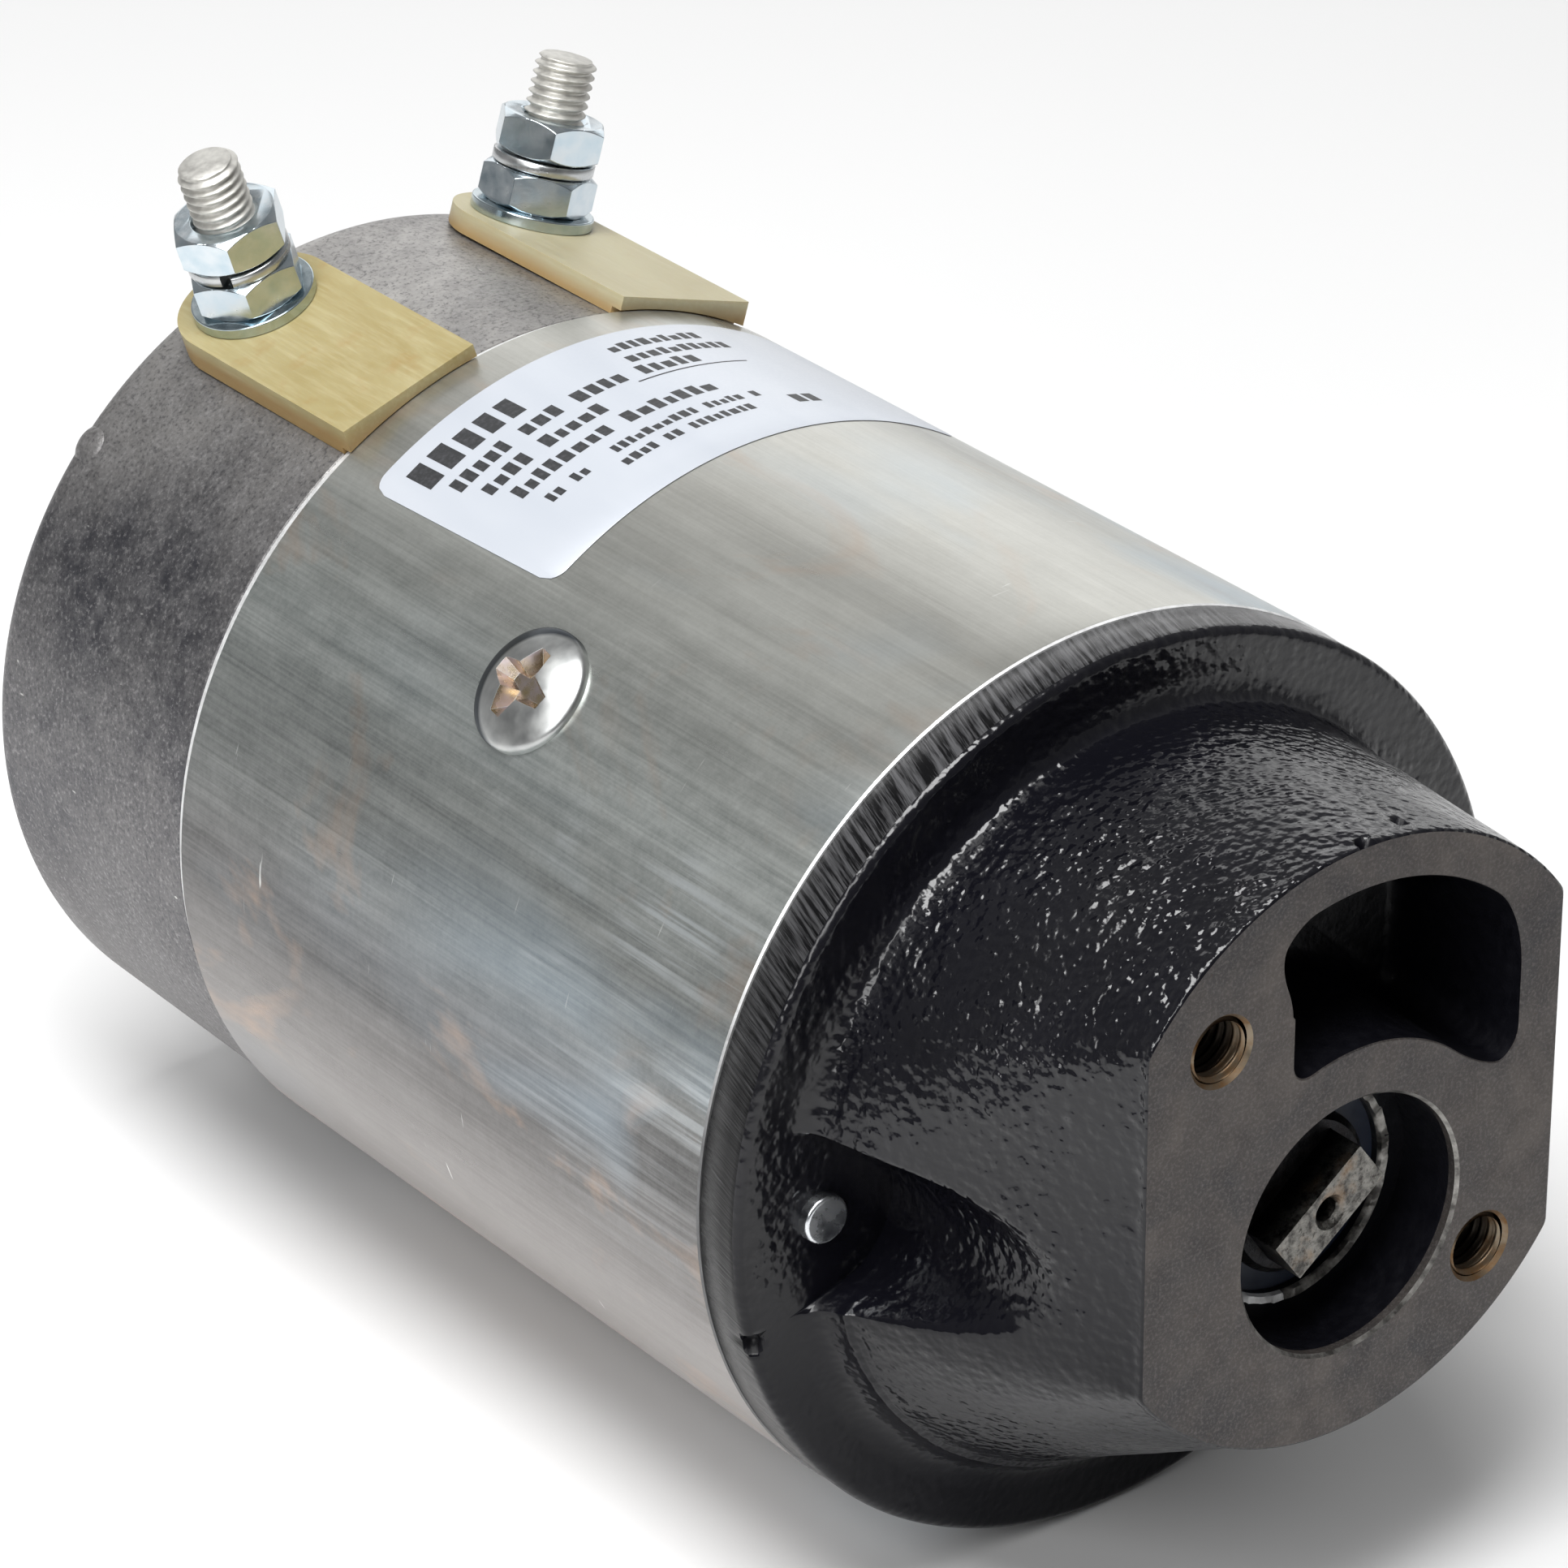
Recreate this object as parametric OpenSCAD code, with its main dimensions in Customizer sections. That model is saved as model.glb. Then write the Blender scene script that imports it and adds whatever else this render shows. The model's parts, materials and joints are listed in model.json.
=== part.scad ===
// Brushed direct-current pump motor with a tang drive and two terminal studs.
// Millimetres. Origin: centre of the pilot bore on the mounting face.
// +Y runs back along the shaft, +Z points up between the terminal studs.

/* [Body] */
// outside radius of the steel can
can_r = 57; // [56:0.5:58]
// where the steel can starts behind the mounting face
can_front = 45.5; // [45:0.5:46]
// length of the steel can
can_len = 106; // [104:1:108]
// outside radius of the rear cap
cap_r = 56.2; // [55.8:0.1:56.4]
// length of the rear cap outside the can
cap_len = 44.5; // [44:0.5:46]

/* [Mounting face] */
// half the distance between the two flats of the face
face_half_w = 30.6; // [30:0.1:31]
// radius of the curved top and bottom of the face
face_r = 37.6; // [37.2:0.1:38]
// height of the face outline's centre above the shaft
face_rise = 10.6; // [10:0.1:11]
// radius of the pilot bore
pilot_r = 16; // [15.5:0.1:16.2]
// distance across and up between the two tapped holes
tap_spacing = 40; // [39.5:0.5:40.5]
// height of the hole pattern's centre above the shaft
tap_rise = 9.6; // [9:0.1:10]
// drilled radius of the tapped holes
tap_r = 3.4; // [3.3:0.1:3.5]
// depth of the tapped holes
tap_depth = 18; // [14:1:20]
// depth of the kidney-shaped pocket
kidney_depth = 20; // [12:1:20]

/* [Drive tang] */
// length of the tang across the shaft
tang_l = 15.2; // [14.5:0.1:15.6]
// thickness of the tang
tang_w = 6.5; // [6:0.1:7]
// angle of the tang from level
tang_angle = 36; // [0:1:90]

/* [Terminals] */
// sideways distance of each stud where it leaves the cap
stud_x = 20.65; // [20:0.05:21]
// distance of the studs behind the mounting face
stud_y = 183; // [182:0.5:184]
// lean of each stud from vertical
stud_lean = 17.5; // [16:0.5:19]
// height of the stud ends above the can's radius
stud_top = 23.2; // [21:0.2:26]
// radius of the studs
stud_r = 4; // [3.8:0.05:4]

/* [Brush gear] */
// outside radius of the commutator
commutator_r = 22; // [21.5:0.1:22.3]
// running gap between a brush and the commutator
brush_gap = 0.05; // [0.04:0.01:0.1]
// number of commutator bars
bar_count = 24; // [18:1:28]
// number of armature slots
slot_count = 16; // [14:1:18]

/* [Hidden] */

$fn = 96;
can_rear = can_front + can_len;
cap_rear = can_rear + cap_len;
can_in = can_r - 5.5;
spigot_r = can_in - 0.1;
rim_front = can_front - 7;
neck_r = 48;
fillet_r = 4.5;
bolt_x = 45.2;
pole_y = can_front + can_len / 2;
pole_len = 60;
core_len = 70;
core_r = 32.4;
shaft_r = 10;
shaft_mid_r = 12;
seal_y = 11;
shaft_front = 8.5;
front_brg_y = 27;
rear_brg_y = cap_rear - 15.3;
stud_z = sqrt(can_r * can_r - stud_x * stud_x);
pad_top = 1.8;
washer_t = 1.6;
nut_t = 5;
spring_t = 2;
nut_af = 13;
lower_nut_z = pad_top + washer_t;
spring_z = lower_nut_z + nut_t;
upper_nut_z = spring_z + spring_t;
free_z = upper_nut_z + nut_t + 0.3;
brush_y = can_rear + 10.5;
brush_w = 8;
brush_l = 16;
brush_out = 40.5;
plate_y = brush_y + 9.4;
arm_len = 14;
arm_travel = 3;
pivot_z = brush_out + 1.5 + arm_travel / 2;
tip_z = brush_out + 1.5;

// ---- shared shapes ----

// stands a turned profile, drawn as radius and distance, on the shaft axis
module turned(y) translate([0, y, 0]) rotate([-90, 0, 0]) rotate_extrude() children();

// plain tube on the shaft axis
module ring(y, h, ro, ri) turned(y) translate([ri, 0]) square([ro - ri, h]);

// plain cylinder parallel to the shaft
module rod(y, h, r, x = 0, z = 0) translate([x, y, z]) rotate([-90, 0, 0]) cylinder(h = h, r = r);

// flat outline drawn as seen from the front, given thickness h behind y
module plate(y, h) translate([0, y + h, 0]) rotate([90, 0, 0]) linear_extrude(h) children();

// turns a piece drawn at twelve o'clock round the shaft
module around(angle) rotate([0, angle, 0]) children();

// frame of one terminal stud: origin on the can's radius, z out along the stud
module at_stud(side) translate([side * stud_x, stud_y, stud_z]) rotate([0, side * stud_lean, 0])
  children();

module rounded_rect(w, l, r) {
  square([w - 2 * r, l], center = true);
  square([w, l - 2 * r], center = true);
  for (sx = [-1, 1]) for (sy = [-1, 1])
    translate([sx * (w / 2 - r), sy * (l / 2 - r)]) circle(r);
}

module hex_nut(h, af, bore_r) difference() {
  intersection() {
    cylinder(h = h, d = af / cos(30), $fn = 6);
    rotate_extrude() polygon([[0, 0], [af * 0.49, 0], [af * 0.58, h * 0.16],
      [af * 0.58, h * 0.84], [af * 0.49, h], [0, h]]);
  }
  translate([0, 0, -1]) cylinder(h = h + 2, r = bore_r);
  translate([0, 0, -0.01]) cylinder(h = 0.6, r1 = bore_r + 0.6, r2 = bore_r);
  translate([0, 0, h - 0.59]) cylinder(h = 0.6, r1 = bore_r, r2 = bore_r + 0.6);
}

// ---- drive end ----

module face_outline() intersection() {
  translate([0, face_rise]) circle(face_r);
  square([2 * face_half_w, 4 * face_r], center = true);
}

module kidney_outline() offset(3, $fn = 40) offset(-3) difference() {
  translate([0, face_rise]) circle(32.1);
  circle(22.7);
  translate([-tap_spacing / 2, tap_rise + tap_spacing / 2]) circle(10.4);
  translate([24.6, -50]) square([50, 100]);
  translate([-50, -50]) square([40.7, 80]);
  translate([-50, 0]) square([37, 60]);
  translate([-50, -90]) square([100, 100]);
}

module at_taps() for (s = [-1, 1])
  translate([s * tap_spacing / 2, 0, tap_rise - s * tap_spacing / 2]) children();

module flange_solid() {
  hull() {
    plate(0, 1.5) face_outline();
    rod(rim_front, 1, neck_r);
  }
  turned(rim_front - fillet_r) difference() {
    square([neck_r - 1.5 + fillet_r, fillet_r + 1]);
    translate([neck_r - 1.5 + fillet_r, 0]) circle(fillet_r);
  }
  turned(rim_front) polygon([[0, 0], [can_r - 1, 0], [can_r - 0.2, 0.8],
    [can_r - 0.2, 7], [0, 7]]);
  turned(can_front - 1) square([spigot_r, 6.5]);
}

module drive_end_flange() color("#17181b") difference() {
  flange_solid();
  rod(-1, 20, pilot_r);
  rod(3, seal_y - 4.5, pilot_r + 0.4);
  rod(seal_y - 2, 30, 13);
  rod(seal_y, 20, 17.5);
  rod(front_brg_y, 40, 23.5);
  rod(front_brg_y + 14.1, 1.9, 24.7);
  rod(can_front, 10, spigot_r - 3);
  plate(-1, kidney_depth + 1) kidney_outline();
  at_taps() rod(-1, tap_depth + 1, tap_r);
  at_taps() translate([0, -0.01, 0]) rotate([-90, 0, 0])
    cylinder(h = 0.45, r1 = tap_r + 1, r2 = tap_r);
  for (s = [-1, 1]) {
    rod(2, rim_front - 1.7, 10.5, s * bolt_x);
    rod(rim_front - 2, 12, 3.1, s * bolt_x);
  }
  around(-104.3) rod(rim_front - 1, 3, 1.3, 0, 56);
}

module shaft_seal() color("#1f2a3c") turned(seal_y) {
  translate([14.5, 0]) square([3, 7]);
  translate([shaft_r + 0.05, 0]) square([5, 1.6]);
  translate([shaft_r + 0.05, 0]) square([1.4, 4.5]);
}

module bearing_circlip() color("#3a3d42") difference() {
  ring(front_brg_y + 14.2, 1.6, 24.5, 21.4);
  translate([-4, front_brg_y + 13, -30]) cube([8, 4, 12]);
}

// ---- ball bearings ----

module outer_race(y, w, ro, pitch, ball) turned(y) difference() {
  translate([pitch + ball * 0.7, 0]) square([ro - pitch - ball * 0.7, w]);
  translate([pitch, w / 2]) circle(ball + 0.08);
}

module inner_race(y, w, ri, pitch, ball) turned(y) difference() {
  translate([ri, 0]) square([pitch - ball * 0.7 - ri, w]);
  translate([pitch, w / 2]) circle(ball + 0.08);
}

module balls(y, w, pitch, ball, count) for (i = [0 : count - 1])
  around(i * 360 / count) translate([0, y + w / 2, pitch]) sphere(ball, $fn = 48);

module cage(y, w, pitch, ball, count) difference() {
  ring(y + w / 2 - ball * 0.8, ball * 1.6, pitch + ball * 0.22, pitch - ball * 0.22);
  balls(y, w, pitch, ball + 0.05, count);
}

front_pitch = 16.75;
front_ball = 3.9;
rear_pitch = 12.5;
rear_ball = 2.95;

module front_bearing_outer_race() color("#9a9da1")
  outer_race(front_brg_y, 14, 23.5, front_pitch, front_ball);
module front_bearing_inner_race() color("#a6a9ad")
  inner_race(front_brg_y, 14, shaft_r, front_pitch, front_ball);
module front_bearing_balls() color("#c9ccd0")
  balls(front_brg_y, 14, front_pitch, front_ball, 8);
module front_bearing_cage() color("#b08d4f")
  cage(front_brg_y, 14, front_pitch, front_ball, 8);
module rear_bearing_outer_race() color("#9a9da1")
  outer_race(rear_brg_y, 11, 17.5, rear_pitch, rear_ball);
module rear_bearing_inner_race() color("#a6a9ad")
  inner_race(rear_brg_y, 11, 7.5, rear_pitch, rear_ball);
module rear_bearing_balls() color("#c9ccd0")
  balls(rear_brg_y, 11, rear_pitch, rear_ball, 8);
module rear_bearing_cage() color("#b08d4f")
  cage(rear_brg_y, 11, rear_pitch, rear_ball, 8);
module preload_washer() color("#7d8186") ring(rear_brg_y + 11.1, 0.8, 17.2, 11.5);

// ---- steel can, poles and coils ----

module at_wound_poles() for (angle = [135, 315]) around(angle) translate([0, pole_y, 0])
  children();

module steel_can() color("#b9bdbf") difference() {
  turned(can_front) polygon([[can_in, 0], [can_r - 0.8, 0], [can_r, 0.8],
    [can_r, can_len - 0.8], [can_r - 0.8, can_len], [can_in, can_len]]);
  at_wound_poles() translate([0, 0, can_in - 5]) cylinder(h = 20, r = 5.3);
  at_wound_poles() translate([0, 0, can_r - 0.9]) cylinder(h = 5, r = 8.4);
}

// plain pole between two wound ones, welded to the can from inside
module plain_pole() translate([0, pole_y, 0]) intersection() {
  union() {
    translate([-12, -pole_len / 2, 36]) cube([24, pole_len, 16]);
    intersection() {
      ring(-pole_len / 2, pole_len, 38.6, 30);
      translate([-20.5, -pole_len / 2, 20]) cube([41, pole_len, 20]);
    }
  }
  ring(-pole_len / 2, pole_len, can_in, 33.3);
}

module pole_shoe() difference() {
  plain_pole();
  translate([0, pole_y, 41]) cylinder(h = 20, r = 5);
}

module field_coil() translate([0, pole_y, 39.2]) linear_extrude(7.2) difference() {
  rounded_rect(39.2, pole_len + 15.4, 6);
  rounded_rect(24.6, pole_len + 0.8, 1);
}

module pole_shoe_lower_right() color("#6f7174") around(135) pole_shoe();
module pole_shoe_upper_left() color("#6f7174") around(315) pole_shoe();
module plain_pole_upper_right() color("#6f7174") around(45) plain_pole();
module plain_pole_lower_left() color("#6f7174") around(225) plain_pole();
module field_coil_lower_right() color("#a4522d") around(135) field_coil();
module field_coil_upper_left() color("#a4522d") around(315) field_coil();

module pole_screw() difference() {
  union() {
    translate([0, 0, 42]) cylinder(h = 15, r = 4.9);
    intersection() {
      translate([0, 0, can_r - 0.9]) cylinder(h = 5, r = 8);
      translate([0, 0, can_r - 11.7]) sphere(14.7);
    }
  }
  for (turn = [0, 90]) rotate([0, 0, turn + 10])
    translate([-4.4, -0.9, can_r + 0.4]) cube([8.8, 1.8, 5]);
}

module pole_screws() color("#c4c9cb") at_wound_poles() pole_screw();

module through_bolts() color("#c9ced1") for (s = [-1, 1]) translate([s * bolt_x, 0, 0]) {
  rod(rim_front - 1.5, cap_rear - rim_front - 4.5, 3);
  translate([0, cap_rear - 6, 0]) rotate([-90, 0, 0]) cylinder(h = 4, r = 5.77, $fn = 6);
}

module rating_label() color("#e9ebec") intersection() {
  ring(can_front, can_len, can_r + 0.15, can_r);
  translate([0, can_front + 80.3, 40]) rotate([0, 0, 2]) linear_extrude(30)
    rounded_rect(63.4, 35.6, 3);
}

// ---- rear cap ----

module cap_outline(r, l, round) {
  square([r - round, l]);
  square([r, l - round]);
  translate([r - round, l - round]) circle(round);
}

module rear_cap() color("#6b6c6e") difference() {
  union() {
    difference() {
      turned(can_rear) cap_outline(cap_r, cap_len, 4);
      rod(can_rear - 1, cap_len - 4.5, cap_r - 5.2);
    }
    ring(can_rear - 5.5, 6.5, spigot_r, spigot_r - 3);
    rod(rear_brg_y - 1, 17, 22);
    rod(cap_rear - 1, 3, 23);
    intersection() {
      for (s = [-1, 1]) rod(can_rear + 10, cap_len - 12, 7.6, s * bolt_x);
      rod(can_rear, cap_len, cap_r - 2);
    }
    for (s = [-1, 1]) rod(plate_y + 2, cap_rear - plate_y - 4, 5, 0, s * 40);
    intersection() {
      for (s = [-1, 1]) at_stud(s) translate([0, 0, -6.6]) cylinder(h = 5, r = 10.5);
      rod(can_rear, cap_len, cap_r - 0.5);
    }
    around(-47.5) translate([0, cap_rear - 4.6, 50]) cylinder(h = cap_r - 49, r = 2.7);
  }
  rod(rear_brg_y - 2, 14, 17.5);
  for (s = [-1, 1]) {
    rod(can_rear, cap_len + 2, 3.3, s * bolt_x);
    rod(cap_rear - 6, 10, 6.6, s * bolt_x);
    at_stud(s) translate([0, 0, -12]) cylinder(h = 20, r = 7);
    at_stud(s) translate([0, 0, -14]) cylinder(h = 7.4, r = 10);
    rod(plate_y, 14, 1.9, 0, s * 40);
  }
}

// ---- rotor ----

module rotor_shaft() color("#8d8f92") {
  difference() {
    intersection() {
      translate([0, 3.5, 0]) rotate([0, -tang_angle, 0]) translate([-tang_l / 2, 0, -tang_w / 2])
        cube([tang_l, shaft_front - 3, tang_w]);
      rod(3.5, 7, 8.2);
    }
    rod(3, 6, 1.5);
    translate([0, 3.49, 0]) rotate([-90, 0, 0]) cylinder(h = 0.8, r1 = 2.2, r2 = 1.5);
  }
  turned(0) polygon([[0, shaft_front], [shaft_r - 0.8, shaft_front],
    [shaft_r, shaft_front + 0.8], [shaft_r, 41.2], [shaft_mid_r, 41.2],
    [shaft_mid_r, rear_brg_y], [7.5, rear_brg_y], [7.5, rear_brg_y + 10.5],
    [0, rear_brg_y + 10.5]]);
}

module armature_core() color("#55585c") difference() {
  ring(pole_y - core_len / 2, core_len, core_r, shaft_mid_r);
  for (i = [0 : slot_count - 1]) around(i * 360 / slot_count)
    translate([-1.6, pole_y - core_len / 2 - 1, 22]) cube([3.2, core_len + 2, 12]);
}

module armature_winding() color("#b5623a") {
  for (s = [-1, 1]) turned(pole_y + s * (core_len / 2 + 5.8) - 5.8)
    translate([22.5, 5.8]) rounded_rect(17, 11.6, 4);
  for (i = [0 : slot_count - 1]) around(i * 360 / slot_count)
    translate([-1.4, pole_y - core_len / 2 - 2, 22.3]) cube([2.8, core_len + 4, 9.3]);
}

module commutator_bars() color("#b87333") difference() {
  turned(pole_y + core_len / 2 + 12) polygon([[15, 0], [24.5, 0], [24.5, 3.5],
    [commutator_r, 3.5], [commutator_r, 28], [15, 28]]);
  for (i = [0 : bar_count - 1]) around(i * 360 / bar_count)
    translate([-0.35, pole_y + core_len / 2 + 11, commutator_r - 1]) cube([0.7, 30, 5]);
}

module commutator_hub() color("#3b2a20")
  ring(pole_y + core_len / 2 + 12, 28, 15, shaft_mid_r);

// ---- brush gear ----

module at_brush(i) around(45 + 90 * i) translate([0, brush_y, 0]) children();

module brush_plate() color("#5a3a22") {
  difference() {
    ring(plate_y, 2, 50, 27);
    for (s = [-1, 1]) {
      rod(plate_y - 1, 5, 8.4, s * bolt_x);
      rod(plate_y - 1, 5, 2.1, 0, s * 40);
    }
  }
  for (i = [0 : 3]) around(45 + 90 * i) rod(brush_y - 3.6, 13.4, 2, arm_len, pivot_z);
}

module brush_plate_screws() color("#b8bcc0") for (s = [-1, 1]) {
  rod(plate_y - 2.6, 2.6, 3.5, 0, s * 40);
  rod(plate_y - 0.5, 10, 1.9, 0, s * 40);
}

module brush_holders() color("#b99a4a") for (i = [0 : 3]) at_brush(i) translate([0, 0, 25])
  linear_extrude(13) difference() {
    square([brush_w + 3.2, brush_l + 2.8], center = true);
    square([brush_w + 0.7, brush_l + 0.7], center = true);
  }

module brush(i) at_brush(i) difference() {
  translate([-brush_w / 2, -brush_l / 2, 18]) cube([brush_w, brush_l, brush_out - 18]);
  rod(-20, 40, commutator_r + brush_gap);
}

module spring_arm(i) at_brush(i) {
  rod(-3.3, 6.6, 1.2, 0, tip_z);
  translate([arm_len, 0, pivot_z]) difference() {
    union() {
      rod(-3.6, 7.2, 4);
      rotate([0, -asin(arm_travel / 2 / arm_len), 0]) translate([-arm_len, -3, -0.45])
        cube([arm_len, 6, 0.9]);
    }
    rod(-4, 8, 2.3);
  }
}

module brush_upper_right() color("#2b2b2d") brush(0);
module brush_lower_right() color("#2b2b2d") brush(1);
module brush_lower_left() color("#2b2b2d") brush(2);
module brush_upper_left() color("#2b2b2d") brush(3);
module spring_arm_upper_right() color("#8f9499") spring_arm(0);
module spring_arm_lower_right() color("#8f9499") spring_arm(1);
module spring_arm_lower_left() color("#8f9499") spring_arm(2);
module spring_arm_upper_left() color("#8f9499") spring_arm(3);

// ---- terminals ----

module terminal_stud(side) at_stud(side) {
  translate([0, 0, -9]) cylinder(h = free_z + 9.1, r = stud_r - 0.2);
  translate([0, 0, free_z]) cylinder(h = stud_top - free_z - 1, r = stud_r);
  translate([0, 0, stud_top - 1]) cylinder(h = 1, r1 = stud_r, r2 = stud_r - 0.9);
  translate([0, 0, -13]) cylinder(h = 4.3, r = 7.2, $fn = 6);
}

module stud_bush(side) at_stud(side) rotate_extrude() {
  translate([stud_r, -8.6]) square([6.9 - stud_r, 6.6]);
  translate([stud_r, -8.6]) square([9.1 - stud_r, 1.9]);
}

module insulating_pad(side) difference() {
  at_stud(side) translate([0, 0, -5]) linear_extrude(pad_top + 5) difference() {
    union() {
      circle(10.2);
      translate([-10.2, can_rear - 1.7 - stud_y]) square([20.4, stud_y - can_rear + 1.7]);
    }
    circle(stud_r + 0.3);
  }
  rod(can_rear, cap_len + 5, cap_r + 0.05);
  rod(can_rear - 20, 20.1, can_r + 0.2);
}

module terminal_stud_left() color("#c9c8c2") terminal_stud(-1);
module terminal_stud_right() color("#c9c8c2") terminal_stud(1);
module stud_bush_left() color("#d8cda0") stud_bush(-1);
module stud_bush_right() color("#d8cda0") stud_bush(1);
module insulating_pad_left() color("#cdbd84") insulating_pad(-1);
module insulating_pad_right() color("#cdbd84") insulating_pad(1);

module flat_washers() color("#aebcc4") for (s = [-1, 1]) at_stud(s)
  translate([0, 0, pad_top]) difference() {
    cylinder(h = washer_t, r = 8);
    translate([0, 0, -1]) cylinder(h = 4, r = stud_r + 0.2);
  }

module lower_nuts() color("#b4c0c8") for (s = [-1, 1]) at_stud(s)
  translate([0, 0, lower_nut_z]) rotate([0, 0, s > 0 ? 26 : -2])
    hex_nut(nut_t, nut_af, stud_r - 0.15);

module spring_washers() color("#a7adb1") for (s = [-1, 1]) at_stud(s)
  translate([0, 0, spring_z]) difference() {
    cylinder(h = spring_t, r = 6.7);
    translate([0, 0, -1]) cylinder(h = 4, r = stud_r + 0.2);
    rotate([0, 0, s > 0 ? 80 : 222]) translate([3, -0.5, -1]) cube([6, 1, 4]);
  }

module upper_nuts() color("#bcc6cc") for (s = [-1, 1]) at_stud(s)
  translate([0, 0, upper_nut_z]) rotate([0, 0, -4])
    hex_nut(nut_t, nut_af, stud_r - 0.15);

// ---- one line per sub-part ----

drive_end_flange();
steel_can();
rear_cap();
pole_screws();
through_bolts();
rating_label();
pole_shoe_upper_left();
plain_pole_upper_right();
plain_pole_lower_left();
pole_shoe_lower_right();
field_coil_upper_left();
field_coil_lower_right();
shaft_seal();
bearing_circlip();
front_bearing_outer_race();
front_bearing_inner_race();
front_bearing_balls();
front_bearing_cage();
rear_bearing_outer_race();
rear_bearing_inner_race();
rear_bearing_balls();
rear_bearing_cage();
preload_washer();
rotor_shaft();
armature_core();
armature_winding();
commutator_bars();
commutator_hub();
brush_plate();
brush_plate_screws();
brush_holders();
brush_upper_left();
brush_upper_right();
brush_lower_left();
brush_lower_right();
spring_arm_upper_left();
spring_arm_upper_right();
spring_arm_lower_left();
spring_arm_lower_right();
terminal_stud_left();
terminal_stud_right();
stud_bush_left();
stud_bush_right();
insulating_pad_left();
insulating_pad_right();
flat_washers();
lower_nuts();
spring_washers();
upper_nuts();
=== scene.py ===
"""Pump motor with a tang drive: the looks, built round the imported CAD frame.

Helper lengths are millimetres in the CAD frame: +Y runs back along the shaft, +Z is up.
Angles round the shaft start at +Z and grow towards +X. Named angles are in degrees,
and only PAD_LEAN is in radians.
"""

import json
import math
import random

import bmesh
import bpy
import numpy as np
from mathutils import Matrix, Vector, geometry, noise


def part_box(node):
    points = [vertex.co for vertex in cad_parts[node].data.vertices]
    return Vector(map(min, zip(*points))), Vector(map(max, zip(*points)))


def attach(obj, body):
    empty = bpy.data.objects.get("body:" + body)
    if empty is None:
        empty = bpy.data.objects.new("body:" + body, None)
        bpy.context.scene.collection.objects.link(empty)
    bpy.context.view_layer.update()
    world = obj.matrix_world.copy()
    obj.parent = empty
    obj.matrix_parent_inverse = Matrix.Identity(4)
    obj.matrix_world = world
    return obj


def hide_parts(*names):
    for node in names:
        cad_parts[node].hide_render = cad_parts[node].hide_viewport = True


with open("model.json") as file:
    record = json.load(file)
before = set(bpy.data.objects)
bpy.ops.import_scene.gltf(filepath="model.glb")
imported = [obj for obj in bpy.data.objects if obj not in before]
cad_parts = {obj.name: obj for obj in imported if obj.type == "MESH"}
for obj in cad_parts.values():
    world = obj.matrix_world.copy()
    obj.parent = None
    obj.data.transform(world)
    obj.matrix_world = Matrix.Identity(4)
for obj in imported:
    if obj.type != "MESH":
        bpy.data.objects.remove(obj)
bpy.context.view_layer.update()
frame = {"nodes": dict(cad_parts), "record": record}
BODY = "motor_body"
MM = 0.001

# ---- sizes read from the frame, or set off from it ----

NODES = frame["nodes"]
MOUNTS = {m["name"]: m for m in frame["record"]["mounts"]}
SLOTS = {s["node"]: s["material_slot"] for s in frame["record"]["subparts"]}
CAN_LOW, CAN_HIGH = (1000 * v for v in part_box("steel_can"))
CAP_HIGH = 1000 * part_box("rear_cap")[1]
CAN_Y0, CAN_Y1 = CAN_LOW.y, CAN_HIGH.y
CAN_R = CAN_HIGH.x
CAP_R = CAP_HIGH.x
BOSS_RISE = 2.0
CAP_Y = CAP_HIGH.y - BOSS_RISE
SEAL_Y = 1000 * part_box("shaft_seal")[0].y
PILOT_R = MOUNTS["pilot_bore"]["dims"]["r_mm"]
TAP_DX = MOUNTS["pump_bolt_holes"]["dims"]["pcd_mm"] / math.sqrt(8)
TAP_Z = 1000 * MOUNTS["pump_bolt_holes"]["pos_m"][2]
BOLT_HEAD_HALF = 5.77
BOLT_X = 1000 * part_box("through_bolts")[1].x - BOLT_HEAD_HALF

# ---- casting: face, neck, shelf, rim and scoops ----

FACE_HALF_W = 30.6
FACE_R = 37.6
FACE_RISE = 10.6
FACE_CORNER = 2.0
NECK_R = 48.0
NECK_START = 1.2
FILLET_R = 4.5
RIM_FRONT = CAN_Y0 - 7.0
RIM_R = CAN_R - 0.2
SHELF_STEPS = 9
SCOOP_R = 10.5
# small cast pits: middle, radius and depth of each
PITS = ((0.5, 0.6, 48.0, 1.2, 2.4), (7.8, 3.0, 47.6, 1.1, 1.9),
        (-54.8, RIM_FRONT + 0.3, -13.8, 1.5, 2.2))

# ---- casting: kidney pocket, tapped holes and bore ----

KIDNEY_OUTER_R = 32.1
KIDNEY_INNER_R = 22.7
KIDNEY_LEFT = -13.0
KIDNEY_RIGHT = 24.6
KIDNEY_BOTTOM = 13.0
KIDNEY_MIDDLE = (6.0, 31.0)
KIDNEY_DEPTH = 20.0
KIDNEY_STEPS = 240
TAP_BOSS_R = 10.4
TAP_MOUTH_R = 4.5
TAP_MOUTH_DEPTH = 0.55
TAP_DEPTH = 18.0
TAP_STEPS = 48
STEP_Y = SEAL_Y - 1.5
STEP_R = 13.0
SEAL_R = 17.0
BORE_STEPS = 128

# ---- can, cap, label, pole screws, terminals and shaft ----

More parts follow.
